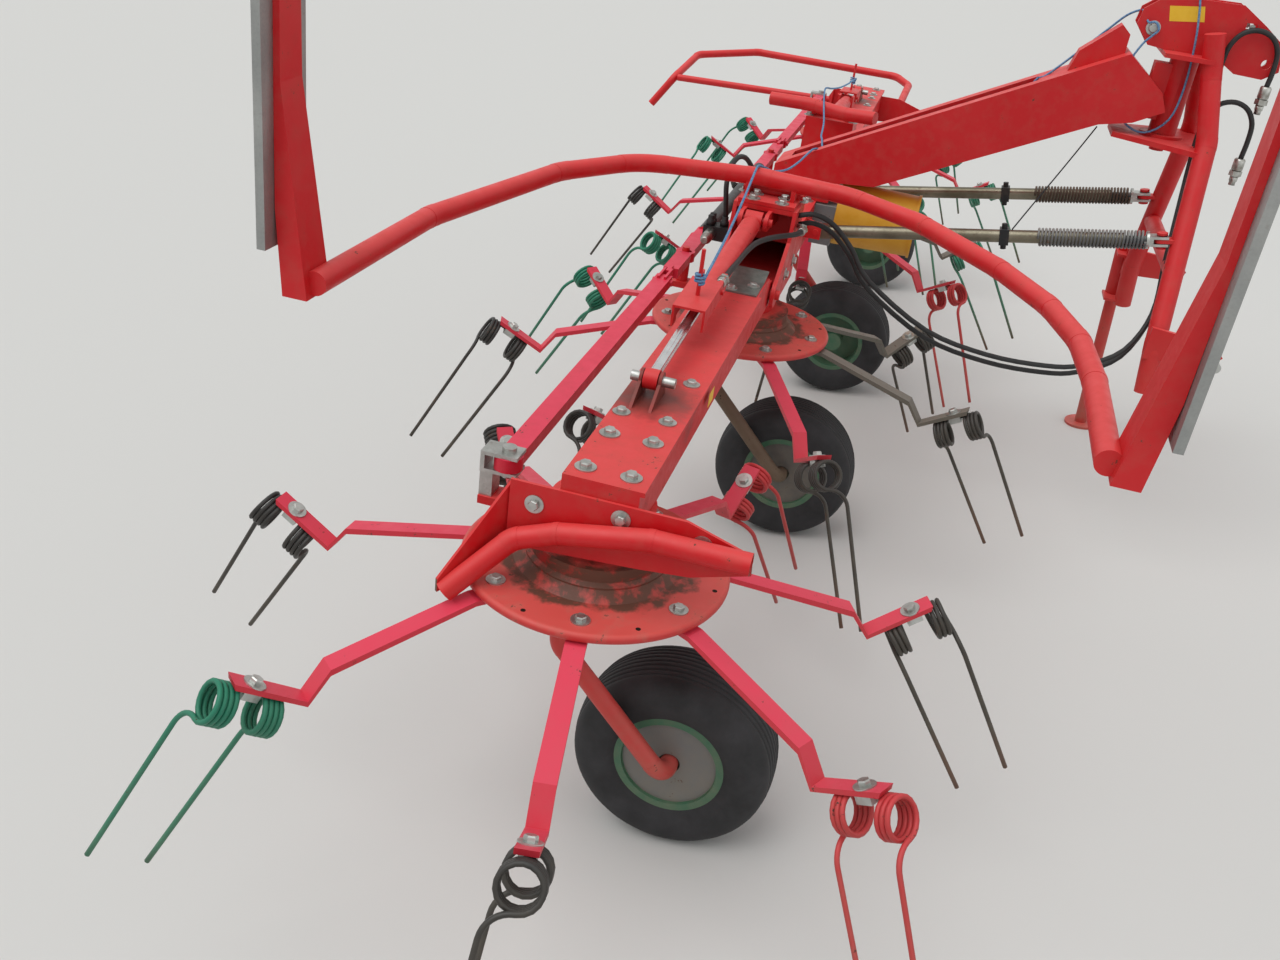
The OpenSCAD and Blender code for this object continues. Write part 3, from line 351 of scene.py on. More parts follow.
hanging = [(655, 98, 956), (650, 142, 966), (634, 194, 944), (608, 250, 884), (581, 312, 799),
           (531, 490, 681), (481, 669, 631), (435, 832, 619), (405, 930, 632), (374, 1030, 690)]
over_the_bar = {
    "upper": [(86, 1086, 1290), (60, 1087, 1370), (56, 1086, 1425), (56, 1091, 1474), (56, 1114, 1509),
              (56, 1152, 1521), (55, 1190, 1508), (54, 1213, 1473), (53, 1218, 1424), (52, 1216, 1385)],
    "lower": [(74, 1084, 1230), (62, 1090, 1284), (58, 1114, 1322), (57, 1152, 1335), (56, 1189, 1322),
              (54, 1213, 1286), (52, 1218, 1238), (52, 1216, 1190)]}
for j, (word, last_corners) in enumerate(over_the_bar.items()):
    shift = Vector((-26 * j, 0, -30 * j))
    corners = [Vector(corner) + shift for corner in hanging]
    corners += [behind_tube(z) + shift * 0.7 for z in (800, 930, 1060, 1180)]
    corners += [Vector(corner) for corner in last_corners]
    plug = coupler(f"coupler_{word}", "headstock", corners[-1] + Vector((0, 0, 2)), (0, 0, -1))
    lay_cord(f"hose_{word}", corners, HOSE_R, hose_rubber, "frame",
             ("headstock", (560, 380, 760), (400, 960, 640)))

# %% The hose of the right cylinder
PIPE_R = 6
port_pipe = [(1262, 24, 940), (1290, 24, 944), (1308, 18, 938), (1312, 6, 926), (1312, 0, 914)]
tower_pipe = [(674, 120, 929), (660, 117, 929), (653, 109, 929), (652, 98, 929)]
build("port_right", "barrel_right", [zinc_fitting],
      fitting(port_pipe[0], (-1, 0, 0)) + [rod(port_pipe, PIPE_R, 12)])
build("port_tower", "frame", [zinc_fitting],
      fitting((706, 120, 929), (-1, 0, 0)) + [rod(tower_pipe, PIPE_R, 12)])
corners = [(1240, 24, 940), (1160, 24, 938), (1074, 25, 936), (980, 28, 936), (900, 38, 937), (840, 62, 938),
           (790, 90, 936), (745, 112, 932), (704, 120, 929)]
lay_cord("hose_cylinder", corners, HOSE_R, hose_rubber, "barrel_right",
         ("frame", (880, 30, 936), (730, 110, 930)))

# %% The hose that arches to the valve block
valve = [slab([(575, -150, 836), (625, -150, 836), (625, -64, 836), (575, -64, 836)], (0, 0, 38))]
for x, y in ((588, -134), (612, -134), (600, -98)):
    valve.append(stack((x, y, 873), (0, 0, 1), [(0, 12), (14, 12), (15, 9), (26, 9), (28, 7)], 20, 0, True))
spool_rings = [(0, 15), (58, 15), (60, 11), (76, 11), (79, 8)]
valve.append(stack((624, -128, 855), (1, 0, 0), spool_rings, 24, 1, True))
build("valve_block", "frame", [hose_rubber, zinc_fitting], valve)
corners = [(600, -98, 899), (600, -104, 940), (588, -112, 988), (552, -112, 1026), (500, -104, 1040),
           (448, -90, 1026), (408, -72, 985), (386, -54, 930), (378, -42, 885), (376, -38, 858)]
lay_cord("hose_arch", corners, HOSE_R, hose_rubber, "frame")

# %% Turns of rope round the lock levers
ROPE_R = 3
LEVER_X, LEVER_Z = 1392, 976
KNOT_STEPS, KNOT_TALL, KNOT_R, KNOT_TURN = 48, 22, 9.5, 0.4

def tie_knot(side, word):
    coil = []
    for i in range(KNOT_STEPS + 1):
        middle = Vector((side * (LEVER_X + i / 24), 0, LEVER_Z + KNOT_TALL * i / KNOT_STEPS))
        out = Vector((math.cos(i * KNOT_TURN), math.sin(i * KNOT_TURN), 0))
        coil.append(middle + out * KNOT_R)
    build(f"rope_knot_{word}", f"barrel_{word}", [blue_rope], [rod(coil, ROPE_R, 8)])

print("a knot has", round(KNOT_STEPS * KNOT_TURN / (2 * math.pi)), "turns")

# %% The ropes that unlock the wings
over_the_wing = [(1393, 9, 985), (1380, 12, 998), (1300, 8, 1000), (1150, 0, 1006), (980, -10, 1018),
                 (800, -20, 1040), (690, -26, 1058), (640, -27, 1060), (585, -20, 1046),
                 (500, -4, 1020), (380, 16, 1003), (250, 30, 1000), (140, 40, 1005), (70, 52, 1007)]
through_the_drawbar = {
    "right": [(20, 84, 990), (8, 150, 968), (4, 260, 996), (4, 400, 1066), (4, 520, 1146), (6, 600, 1254),
              (8, 630, 1304)],
    "left": [(30, 70, 1001), (2, 96, 984)]}
for side, word in ((1, "right"), (-1, "left")):
    tie_knot(side, word)
    route = [(side * x, y, z) for x, y, z in over_the_wing] + through_the_drawbar[word]
    lay_cord(f"rope_{word}", route, ROPE_R, blue_rope, "frame",
             (f"barrel_{word}", (side * 720, -20, 1050), (side * 1250, 5, 1000)))

# %% The rope that hangs on the bracket, and the thin cord of the damper joint
CORD_R = 2
corners = [(8, 630, 1304), (-4, 650, 1312), (-30, 690, 1350), (-40, 746, 1413), (-40, 783, 1456),
           (-40, 822, 1500), (-30, 856, 1520), (10, 866, 1512), (46, 872, 1498), (56, 890, 1501),
           (58, 902, 1484), (56, 892, 1468), (54, 872, 1440), (56, 850, 1380), (58, 843, 1300),
           (60, 884, 1236), (60, 946, 1216), (60, 1000, 1262), (60, 1012, 1350), (58, 1004, 1461),
           (54, 990, 1540), (44, 980, 1582), (10, 984, 1580)]
lay_cord("rope_bracket", corners, ROPE_R, blue_rope, "frame",
         ("headstock", (0, 660, 1320), (-40, 822, 1500)))
corners = [(-20, 828, 1197), (40, 790, 1134), (110, 748, 1068), (180, 706, 1004), (246, 668, 946),
           (262, 658, 930)]
lay_cord("cord_damper", corners, CORD_R, black_cord, "frame", steps=3)

# %% [markdown]
# ## Floor and light
# A plain pale floor runs far beyond the picture. The photograph was taken under a bright
# overcast sky, so a pale world and two wide, far lamps give the same soft light at a plain level,
# as strong far away as near, and the floor stays one tone up to the horizon.

# %% Floor, world and lamps
FLOOR_WIDE, FLOOR_BELOW = 60, 0.0005
bpy.ops.mesh.primitive_plane_add(size=FLOOR_WIDE, location=(0, 0, -FLOOR_BELOW))
floor = bpy.context.object
floor.name = "floor"
floor_paint = new_material("floor_paint", Base_Color=linear("#DAD9D5"), Roughness=0.9)[0]
floor.data.materials.append(floor_paint)

sky = bpy.data.worlds.new("overcast")
bpy.context.scene.world = sky
sky.use_nodes = True
tree = sky.node_tree
tree.nodes.clear()
rays = add(tree, "LightPath")
straight = add(tree, "Math", {"operation": "MAXIMUM"}, _0=rays.outputs["Is Camera Ray"],
               _1=rays.outputs["Is Transmission Ray"])
seen = add(tree, "Math", {"operation": "MAXIMUM"}, _0=straight.outputs[0], _1=rays.outputs["Is Glossy Ray"])
light = add(tree, "Background", None, Color=linear("#F2F5F8"), Strength=0.5)
shown = add(tree, "Background", None, Color=linear("#DCDCDA"), Strength=1.0)
both = add(tree, "MixShader", None, Fac=seen.outputs[0], _1=light.outputs[0], _2=shown.outputs[0])
add(tree, "OutputWorld", None, Surface=both.outputs[0])

def lamp(name, toward, strength, wide):
    data = bpy.data.lights.new(name, "SUN")
    data.energy, data.angle = strength, math.radians(wide)
    made = bpy.data.objects.new(name, data)
    made.rotation_euler = Vector(toward).to_track_quat("-Z", "Y").to_euler()
    bpy.context.scene.collection.objects.link(made)

lamp("bright_cloud", (-2.2, 2.0, -6.0), 1.5, 55)
lamp("side_cloud", (-2.7, -5.5, -3.6), 0.4, 70)
bpy.context.scene.view_settings.view_transform = "Standard"
print("two lamps")

# %% [markdown]
# ## Enamel on steel
# The frame is welded steel under sprayed red enamel. Years of sun have bleached every face
# that looks up, dirt has gathered low down, and stones and straw have chipped it to rust. The
# mask for the bleached faces is the surface's own normal, the dirt follows the height, and the
# chips are the peaks of a fine noise. One function makes all the colours of enamel.

# %% Masks for wear and dirt in one place
def worn_tips(tree, height, grime):
    """Bare brown steel low down, with a ragged upper edge."""
    ragged = add(tree, "Math", {"operation": "MULTIPLY_ADD"}, _0=grime, _1=0.16, _2=height)
    return add(tree, "MapRange", None, Value=ragged.outputs[0], _1=0.36, _2=0.22, _3=0.0, _4=0.92).outputs[0]

def caked_ring(tree, grime):
    """A wavy ring of dried soil round the hub, placed by the share of the plate's own width."""
    share = add(tree, "TexCoord").outputs["Generated"]
    flat = add(tree, "VectorMath", {"operation": "MULTIPLY_ADD"}, _0=share, _1=(1, 1, 0), _2=(-0.5, -0.5, 0))
    out = add(tree, "VectorMath", {"operation": "LENGTH"}, _0=flat.outputs[0]).outputs["Value"]
    waves = add(tree, "TexNoise", None, Vector=share, Scale=7.5, Detail=4, Roughness=0.6).outputs[0]
    radius = add(tree, "Math", {"operation": "MULTIPLY_ADD"}, _0=waves, _1=0.17, _2=out)
    band = ramp(tree, radius.outputs[0], [(0.29, 0.0), (0.325, 1.0), (0.43, 1.0), (0.455, 0.0)])
    broken = add(tree, "MapRange", None, Value=grime, _1=0.36, _2=0.5, _3=0.25, _4=0.95)
    return add(tree, "Math", {"operation": "MULTIPLY"}, _0=band, _1=broken.outputs[0]).outputs[0]

def greasy_patch(tree, where, cloud):
    """Dark grease on the beam round the lugs of the cylinder's rod."""
    lug = level(1735, 0, 860)
    both_sides = add(tree, "VectorMath", {"operation": "ABSOLUTE"}, _0=where)
    away = add(tree, "VectorMath", {"operation": "DISTANCE"}, _0=both_sides.outputs[0],
               _1=(lug.x, abs(lug.y), lug.z))
    ragged = add(tree, "Math", {"operation": "MULTIPLY_ADD"}, _0=cloud, _1=0.12, _2=away.outputs["Value"])
    return ramp(tree, ragged.outputs[0], [(0.10, 0.8), (0.135, 0.55), (0.175, 0.0)])

print("three masks")

# %% Sprayed enamel that has aged
def aged_enamel(name, fresh, bleached, chip="#5A3A2C", wear=0.5, dust="#8C7F6C", dusty=0.25, gloss=0.42,
                special=None):
    """Chips show steel, and dust lies on top. wear and dusty say how much of the face they take."""
    made, tree, surface = new_material(name, Metallic=0.0, IOR=1.5, Specular_IOR_Level=0.36)
    spot = add(tree, "TexCoord")
    where = spot.outputs["Object"]
    lift = add(tree, "SeparateXYZ", None, Vector=spot.outputs["Normal"]).outputs[2]
    height = add(tree, "SeparateXYZ", None, Vector=where).outputs[2]
    # Fading comes in clouds about 240 mm wide, and dried dirt in blots of about 40 mm. Real chips are
    # two or three millimetres wide, too fine to show, and are drawn from noise of 9 mm.
    cloud = speckle(tree, where, 240, 4)
    grime = speckle(tree, where, 38, 5, 0.62)
    fine = speckle(tree, where, 9, 4, 0.7)
    sunny = add(tree, "MapRange", None, Value=lift, _1=0.25, _2=0.95)
    patchy = add(tree, "Math", {"operation": "MULTIPLY_ADD"}, _0=cloud, _1=0.7, _2=-0.33)
    sun = add(tree, "Math", {"operation": "ADD", "use_clamp": True}, _0=sunny.outputs[0],
              _1=patchy.outputs[0])
    paint = add(tree, "Mix", {"data_type": "RGBA"}, _0=sun.outputs[0], _6=linear(fresh), _7=linear(bleached))
    low = add(tree, "MapRange", None, Value=height, _1=0.75, _2=0.05, _3=0.0, _4=0.75)
    soil = add(tree, "Math", {"operation": "MULTIPLY_ADD", "use_clamp": True}, _0=grime, _1=1.6, _2=-0.72)
    soiled = add(tree, "Math", {"operation": "MULTIPLY", "use_clamp": True}, _0=soil.outputs[0], _1=dusty)
    lower = add(tree, "Math", {"operation": "MULTIPLY", "use_clamp": True}, _0=low.outputs[0], _1=grime)
    dirt = add(tree, "Math", {"operation": "MAXIMUM"}, _0=soiled.outputs[0], _1=lower.outputs[0])
    dusted = laid_over(tree, dirt.outputs[0], paint.outputs[2], dust)
    peak = add(tree, "Math", {"operation": "MULTIPLY"}, _0=fine, _1=grime)
    chips = ramp(tree, peak.outputs[0], [(0.0, 0.0), (0.44 - 0.09 * wear, 0.0), (0.47 - 0.09 * wear, 1.0)])
    colour = laid_over(tree, chips, dusted, chip)
    if special == "tips":
        colour = laid_over(tree, worn_tips(tree, height, grime), colour, "#6A4C3C")
    if special == "patch":
        colour = laid_over(tree, greasy_patch(tree, where, grime), colour, "#4E3A30")
    if special == "ring":
        colour = laid_over(tree, caked_ring(tree, grime), colour, "#5C4234")
    rough = add(tree, "MapRange", None, Value=grime, _1=0.3, _2=0.75, _3=gloss - 0.08, _4=gloss + 0.22)
    rise = add(tree, "Math", {"operation": "MULTIPLY_ADD"}, _0=chips, _1=-0.6, _2=fine)
    bump = add(tree, "Bump", None, Strength=0.18, Distance=0.0006, Height=rise.outputs[0])
    tree.links.new(colour, surface.inputs["Base Color"])
    tree.links.new(rough.outputs[0], surface.inputs["Roughness"])
    tree.links.new(bump.outputs[0], surface.inputs["Normal"])
    return made

# %% The enamels of the machine
# Chips of the frame show rusty steel, and dried soil on the rotors is paler than the dust elsewhere.
red_enamel = aged_enamel("red_enamel", "#C8181E", "#E44444", wear=0.45)
beam_enamel = aged_enamel("beam_enamel", "#C8181E", "#E44444", wear=0.55, dusty=0.35, special="patch")
rotor_enamel = aged_enamel("rotor_enamel", "#C42A2C", "#DA524C", chip="#6A4A3C", wear=0.75, dusty=0.6,
                           dust="#9A8A76", special="ring")
arm_enamel = aged_enamel("arm_enamel", "#D01C36", "#EA3E5A", wear=0.6, dusty=0.3)
# The rims are green, their cover discs and the small parts are grey or black.
green_enamel = aged_enamel("green_enamel", "#0B6448", "#187658", chip="#3C3028", wear=0.45, dusty=0.35)
black_enamel = aged_enamel("black_enamel", "#1C1D1F", "#343537", chip="#55483E", wear=0.4, dusty=0.3)
grey_enamel = aged_enamel("grey_enamel", "#6A6C6D", "#868884", wear=0.5, dusty=0.3)
# The brown has lost its paint to rust, and the bare arm is rubbed steel with rust on it.
rust_brown = aged_enamel("rust_brown", "#57402F", "#6E5545", chip="#3A2C24", wear=0.8, dusty=0.6, gloss=0.6)
dark_disc = aged_enamel("dark_disc", "#4A4C4E", "#5E605F", wear=0.5, dusty=0.5)
bare_arm = aged_enamel("bare_arm", "#5C5850", "#77726A", chip="#4E3A2C", wear=0.9, dusty=0.4, gloss=0.5)
# Soil rubs the tips of the black and green tines bare. The springs are steel, bright or rusty.
black_wire = aged_enamel("black_wire", "#1E1F21", "#2E3032", chip="#5A4638", wear=0.7, dusty=0.35,
                         special="tips")
green_wire = aged_enamel("green_wire", "#08745A", "#108264", chip="#4A3A2E", wear=0.6, dusty=0.3,
                         special="tips")
red_wire = aged_enamel("red_wire", "#BE1E2A", "#D63640", chip="#4A2A22", wear=0.75, dusty=0.3)
spring_steel = aged_enamel("spring_steel", "#5E5F60", "#8C8A86", chip="#5E4636", wear=0.7, dusty=0.4,
                           gloss=0.35)
spring_brown = aged_enamel("spring_brown", "#46372C", "#6A5A4C", chip="#2E2622", wear=0.8, dusty=0.5,
                           gloss=0.5)
print("fifteen enamels")

# %% [markdown]
# ## Bare metal
# Bolts and clevises are zinc plated, the sheet over the fold is hot-dip galvanised, the rods of
# the cylinders are hard chrome, and the damper tubes have rubbed bare, with a band of yellow
# zinc. They are all metals, and what sets them apart is roughness and how much brown has crept
# in. The painted shade of a hole is the same graph, nearly black.

# %% Plated, galvanised, chromed and rubbed steel
def metal(name, bright, dull, rough, stain="#6B5644", stained=0.2, grain_mm=30):
    made, tree, surface = new_material(name, Metallic=1.0, Coat_Weight=0.0)
    where = add(tree, "TexCoord").outputs["Object"]
    cloud = speckle(tree, where, grain_mm, 4)
    fine = speckle(tree, where, 5, 3)
    tone = ramp(tree, cloud, [(0.3, bright), (0.7, dull)])
    spots = ramp(tree, speckle(tree, where, 16, 5, 0.65),
                 [(0.0, 0.0), (0.62 - 0.2 * stained, 0.0), (0.74 - 0.2 * stained, min(1, stained * 2))])
    colour = add(tree, "Mix", {"data_type": "RGBA"}, _0=spots, _6=tone, _7=linear(stain))
    roughness = add(tree, "MapRange", None, Value=fine, _1=0.3, _2=0.7, _3=rough - 0.06, _4=rough + 0.1)
    shine = add(tree, "Math", {"operation": "MULTIPLY_ADD", "use_clamp": True}, _0=spots, _1=-0.8, _2=0.95)
    bump = add(tree, "Bump", None, Strength=0.1, Distance=0.0004, Height=fine)
    tree.links.new(colour.outputs[2], surface.inputs["Base Color"])
    tree.links.new(roughness.outputs[0], surface.inputs["Roughness"])
    tree.links.new(shine.outputs[0], surface.inputs["Metallic"])
    tree.links.new(bump.outputs[0], surface.inputs["Normal"])
    return made

zinc_plate = metal("zinc_plate", "#C9CBC8", "#A5A7A3", 0.38, stained=0.2)
galvanised_sheet = metal("galvanised_sheet", "#8F9590", "#757B78", 0.5, stained=0.15, grain_mm=22)
hard_chrome = metal("hard_chrome", "#E2E4E6", "#CED0D3", 0.16, stained=0.0)
rubbed_steel = metal("rubbed_steel", "#8E8878", "#6A6454", 0.36, stain="#5A4A38", stained=0.25, grain_mm=90)
yellow_zinc = metal("yellow_zinc", "#A8A088", "#857C64", 0.34, stain="#6A5844", stained=0.25, grain_mm=50)
board_sheet = metal("board_sheet", "#AFB0AE", "#969897", 0.55, stained=0.12, grain_mm=120)
# Nearly black painted shade, for thin discs that stand for the inside of holes.
shadow_hole = metal("shadow_hole", "#3A302A", "#2A2320", 0.7, stained=0.1)
print("six metals and the dark of a hole")

# %% [markdown]
# ## Put the finishes on the machine
# Each solid of the frame takes one finish first, chosen by how its name begins. Some solids then
# need a second one on part of their faces, such as the grey cover inside a green rim, and those
# faces are sorted by where they lie on the level drawing.

# %% One finish for each solid
FINISHES = (
    ("plate", rotor_enamel), ("arms", arm_enamel), ("tie_rod", arm_enamel), ("tines", green_enamel),
    ("rim", green_enamel), ("tyre", tyre_rubber), ("cover", galvanised_sheet), ("boards", board_sheet),
    ("piston", hard_chrome), ("damper_tube", rubbed_steel), ("damper_rod", grey_enamel),
    ("spring", grey_enamel), ("gearbox", grey_enamel), ("wing_beam", beam_enamel),
    ("pto_guard", guard_polyethylene), ("tie_centre", black_enamel))

def finish_of(name):
    for beginning, finish in FINISHES:
        if name.startswith(beginning):
            return finish
    return red_enamel

for name, solid in cad.items():
    solid.data.materials.clear()
    solid.data.materials.append(finish_of(name))
print("finished", len(cad), "solids")

# %% Give some faces of a solid another finish
def repaint(name, finish, chosen):
    solid = cad[name]
    if finish.name not in solid.data.materials:
        solid.data.materials.append(finish)
    slot = solid.data.materials.find(finish.name)
    faces = [face for face in solid.data.polygons if chosen(back_to_level @ face.center)]
    for face in faces:
        face.material_index = slot
    print(name, "has", len(faces), "faces in", finish.name)

WHEEL_IN = 90
COVER_OUT, COVER_R = 57, 94
COVERS = (grey_enamel, dark_disc, green_enamel, grey_enamel)
for k in range(4):
    side = 1 if ROTOR_X[k] > 0 else -1
    hub_x = ROTOR_X[k] - side * WHEEL_IN
    def on_cover(at):
        return (at.x - hub_x) * side > COVER_OUT and math.hypot(at.y - HUB_Y, at.z - HUB_Z) < COVER_R
    repaint(f"rim_{k + 1}", COVERS[k], on_cover)

# %% Striped sheet on the outer faces of the warning boards
STRIPE = 0.1415

def striped_board():
    """Red and white reflective sheet. Its slanting bars are 100 mm wide, 141.5 mm along the board."""
    made, tree, surface = new_material("striped_sheet", Metallic=0.0, Roughness=0.35, IOR=1.5)
    where = add(tree, "TexCoord").outputs["Object"]
    place = add(tree, "SeparateXYZ", None, Vector=where)
    slant = add(tree, "Math", {"operation": "ADD"}, _0=place.outputs[0], _1=place.outputs[2])
    share = add(tree, "Math", {"operation": "WRAP"}, _0=slant.outputs[0], _1=2 * STRIPE, _2=0.0)
    bars = add(tree, "Math", {"operation": "GREATER_THAN"}, _0=share.outputs[0], _1=STRIPE)
    plain = laid_over(tree, bars.outputs[0], linear("#D8D6D0"), "#B8222A")
    dirt = ramp(tree, speckle(tree, where, 60, 5, 0.6), [(0.5, 0.0), (0.8, 0.6)])
    tree.links.new(laid_over(tree, dirt, plain, "#8A8274"), surface.inputs["Base Color"])
    return made

BOARD_FRONT_Y, BOARD_REAR_Y = 867, -649.5
LEG_RUST_TOP = 470
repaint("leg_2", rust_brown, lambda at: at.z < LEG_RUST_TOP)
repaint("boards", striped_board(), lambda at: at.y > BOARD_FRONT_Y or at.y < BOARD_REAR_Y)

# %% Rusty tube ends and zinc-plated pins
tube_ys = [(back_to_level @ face.center).y for face in cad["end_guard_right"].data.polygons]
tube_low, tube_high = min(tube_ys) + 3, max(tube_ys) - 3
repaint("end_guard_right", rust_brown, lambda at: not tube_low < at.y < tube_high)
LEVER_PIN_Y, LEVER_PIN_Z = -150, 726
for k in (1, 4):
    repaint(f"leg_{k}", zinc_plate, lambda at: at.y < LEVER_PIN_Y and at.z > LEVER_PIN_Z)
LINK_PIN_X, LINK_PIN_Y = 416, 1200
repaint("headstock", zinc_plate, lambda at: abs(at.x) > LINK_PIN_X and at.y > LINK_PIN_Y)

PIN_X, PIN_Z, PIN_R, PIN_HALF = 1735, 892, 13, 23
EYE_LONG = 45

def on_pin(at):
    return math.hypot(abs(at.x) - PIN_X, at.z - PIN_Z) < PIN_R and abs(at.y) > PIN_HALF

for word in ("right", "left"):
    repaint(f"wing_beam_{word}", zinc_plate, on_pin)
    repaint(f"piston_{word}", red_enamel, lambda at: abs(at.x) > PIN_X - EYE_LONG)
    repaint(f"piston_{word}", zinc_plate, on_pin)

# %% Bands along the dampers and the ends of the middle tie rod
DAMPER_Y, DAMPER_Z, DAMPER_RISE = 118, 816, math.radians(9.92)
BLACK_FROM, YELLOW_FROM, YELLOW_TO, ZINC_FROM = 500, 556, 640, 900

def on_line(at):
    return (at.y - DAMPER_Y) * math.cos(DAMPER_RISE) + (at.z - DAMPER_Z) * math.sin(DAMPER_RISE)

for word in ("right", "left"):
    for name in (f"damper_tube_{word}", f"damper_rod_{word}"):
        repaint(name, yellow_zinc, lambda at: YELLOW_FROM <= on_line(at) < YELLOW_TO)
        repaint(name, black_enamel, lambda at: BLACK_FROM <= on_line(at) < YELLOW_FROM)
        repaint(name, zinc_plate, lambda at: on_line(at) >= ZINC_FROM)
TIE_BLACK_HALF = 425
repaint("tie_centre", arm_enamel, lambda at: abs(at.x) > TIE_BLACK_HALF)

# %% [markdown]
# ## Arms and tines
# Each arm ends in two coils of spring wire, made from one length: leg, coil, a short bridge under
# the clamp, coil, leg. The wire is drawn as a helix along the same axes as the solids of the
# CAD model, which it replaces. Broken tines and arms were replaced over the years by ones in
# other colours, and the tips of the black and green ones have worn to bare brown steel.

# %% Colours of the arms and tines
ARM_COUNT = 7
ARM_STEP = 360 / ARM_COUNT
PHASES = (9.6, 30.0, 7.0, 32.0)
HANDS = (1, -1, 1, -1)
BARE_ARMS = ((), (1, 2), (2,), ())
# One letter for each arm, anticlockwise from above: k is black, g is green and r is red.
LETTERS = "kgr"
COIL_FINISHES = ("krkrkkg", "kkkkgkk", "krggkkg", "ggggggg")
print("black tine pairs", sum(row.count("k") for row in COIL_FINISHES))

# %% Where the rising end of an arm is
TOP_RADIUS, TOP_HEIGHT, RISE = 536, 499, math.radians(32)
ARM_T, WIRE, COIL, TINE_BEND = 10, 9.5, 76, 45
COIL_AT = (54, 138)
RING = (COIL - WIRE) / 2
CLAMP_FROM, CLAMP_TO = 70, 120

def on_arm(rotor, arm, along, below, side=0):
    """Point of the level drawing: along the arm's rising end, below its centre line, to one side."""
    turn = math.radians(PHASES[rotor] + arm * ARM_STEP)
    out = TOP_RADIUS + along * math.cos(RISE) + below * math.sin(RISE)
    side *= HANDS[rotor]
    return Vector((ROTOR_X[rotor] + out * math.cos(turn) - side * math.sin(turn),
                   out * math.sin(turn) + side * math.cos(turn),
                   TOP_HEIGHT + along * math.sin(RISE) - below * math.cos(RISE)))

for k in range(4):
    solid = cad[f"arms_{k + 1}"]
    for finish in (bare_arm, zinc_plate):
        solid.data.materials.append(finish)
    for face in solid.data.polygons:
        at = back_to_level @ face.center
        angle = math.degrees(math.atan2(at.y, at.x - ROTOR_X[k]))
        arm = round((angle - PHASES[k]) / ARM_STEP) % ARM_COUNT
        out = math.hypot(at.x - ROTOR_X[k], at.y) - TOP_RADIUS
        below = out * math.sin(RISE) - (at.z - TOP_HEIGHT) * math.cos(RISE)
        along = out * math.cos(RISE) + (at.z - TOP_HEIGHT) * math.sin(RISE)
        if below > ARM_T / 2 and CLAMP_FROM < along < CLAMP_TO:
            face.material_index = 2
        elif arm in BARE_ARMS[k]:
            face.material_index = 1
print("arms end", round(level(*on_arm(0, 0, 0, 0)).z, 3), "m above the floor")

# %% Wind the tines
TURNS, TURN_STEPS, PITCH = 3.5, 18, WIRE * 1.02
COIL_BELOW = ARM_T / 2 + 0.3 + COIL / 2
LEG_RUN, LEG_TIP = 290, 4
ELBOW_FROM, ELBOW_TURN, ELBOW_STEPS, LEG_STEPS = 180, 84, 8, 6

def tine(rotor, arm, far, place, finish):
    """One coil and its leg. The outer leg leans in, so that its tip stays in the rotor's circle."""
    def at(x, y, z):
        return on_arm(rotor, arm, place + z, COIL_BELOW + x, y)
    count = int(TURNS * TURN_STEPS)
    path = []
    for i in range(count + 1):
        turn = 2 * math.pi * TURNS * (1 - i / count)
        path.append(at(RING * math.cos(turn), RING * math.sin(turn), far * PITCH * TURNS * (i / count - 0.5)))
    height = far * PITCH * TURNS / 2
    tip_height = height if far < 0 else LEG_TIP
    for i in range(1, ELBOW_STEPS + 1):
        bend = math.radians(ELBOW_FROM + ELBOW_TURN * i / ELBOW_STEPS)
        path.append(at(RING + TINE_BEND + TINE_BEND * math.cos(bend), TINE_BEND * math.sin(bend), height))
    elbow = math.radians(ELBOW_FROM + ELBOW_TURN)
    end_x = RING + TINE_BEND + TINE_BEND * math.cos(elbow)
    end_y = TINE_BEND * math.sin(elbow)
    for i in range(1, LEG_STEPS + 1):
        run = LEG_RUN * i / LEG_STEPS
        lean_in = (tip_height - height) * i / LEG_STEPS
        path.append(at(end_x - run * math.sin(elbow), end_y + run * math.cos(elbow), height + lean_in))
    return rod(path, WIRE / 2, 8, finish)

def tine_pair(rotor, arm, finish):
    bits = [tine(rotor, arm, far, place, finish) for far, place in zip((-1, 1), COIL_AT)]
    first = on_arm(rotor, arm, COIL_AT[0] + PITCH * TURNS / 2, COIL_BELOW - RING)
    last = on_arm(rotor, arm, COIL_AT[1] - PITCH * TURNS / 2, COIL_BELOW - RING)
    return bits + [rod([first, last], WIRE / 2, 8, finish)]

for k in range(4):
    bits = []
    for arm, letter in enumerate(COIL_FINISHES[k]):
        bits += tine_pair(k, arm, LETTERS.index(letter))
    build(f"tine_wire_{k + 1}", f"rotor_{k + 1}", [black_wire, green_wire, red_wire], bits,
          f"tines_{k + 1}")

# %% [markdown]
# ## Bolts on the rotors
# A bolt with a wide washer holds each arm to its plate, and another clamps the tines to the
# arm's end. They are zinc plated, and all those of a rotor are joined into one mesh, with thin
# dark discs between them, painted shade that stands for the small holes there.

# %% Bolts of the arms
BOLT_CIRCLE, HOLE_CIRCLE, HOLE_R, CLAMP_AT = 202, 222, 4.5, 96

def on_plate(rotor, out, arm):
    turn = math.radians(PHASES[rotor] + arm * ARM_STEP)
    return Vector((ROTOR_X[rotor] + out * math.cos(turn), out * math.sin(turn), PLATE_TOP))

for k in range(4):
    bits = []
    for arm in range(ARM_COUNT):
        bits += bolt(on_plate(k, BOLT_CIRCLE, arm), (0, 0, 1), 17)
        top = on_arm(k, arm, CLAMP_AT, -ARM_T / 2)
        bits += bolt(top, top - on_arm(k, arm, CLAMP_AT, 0), 19)
        hole = on_plate(k, HOLE_CIRCLE, arm + 0.5)
        # A thin dark disc on the plate is painted shade, standing for the inside of a hole.
        bits.append(stack(hole, (0, 0, 1), [(0, HOLE_R), (0.4, HOLE_R)], 14, 1))
    build(f"rotor_bolts_{k + 1}", f"rotor_{k + 1}", [zinc_plate, shadow_hole], bits)

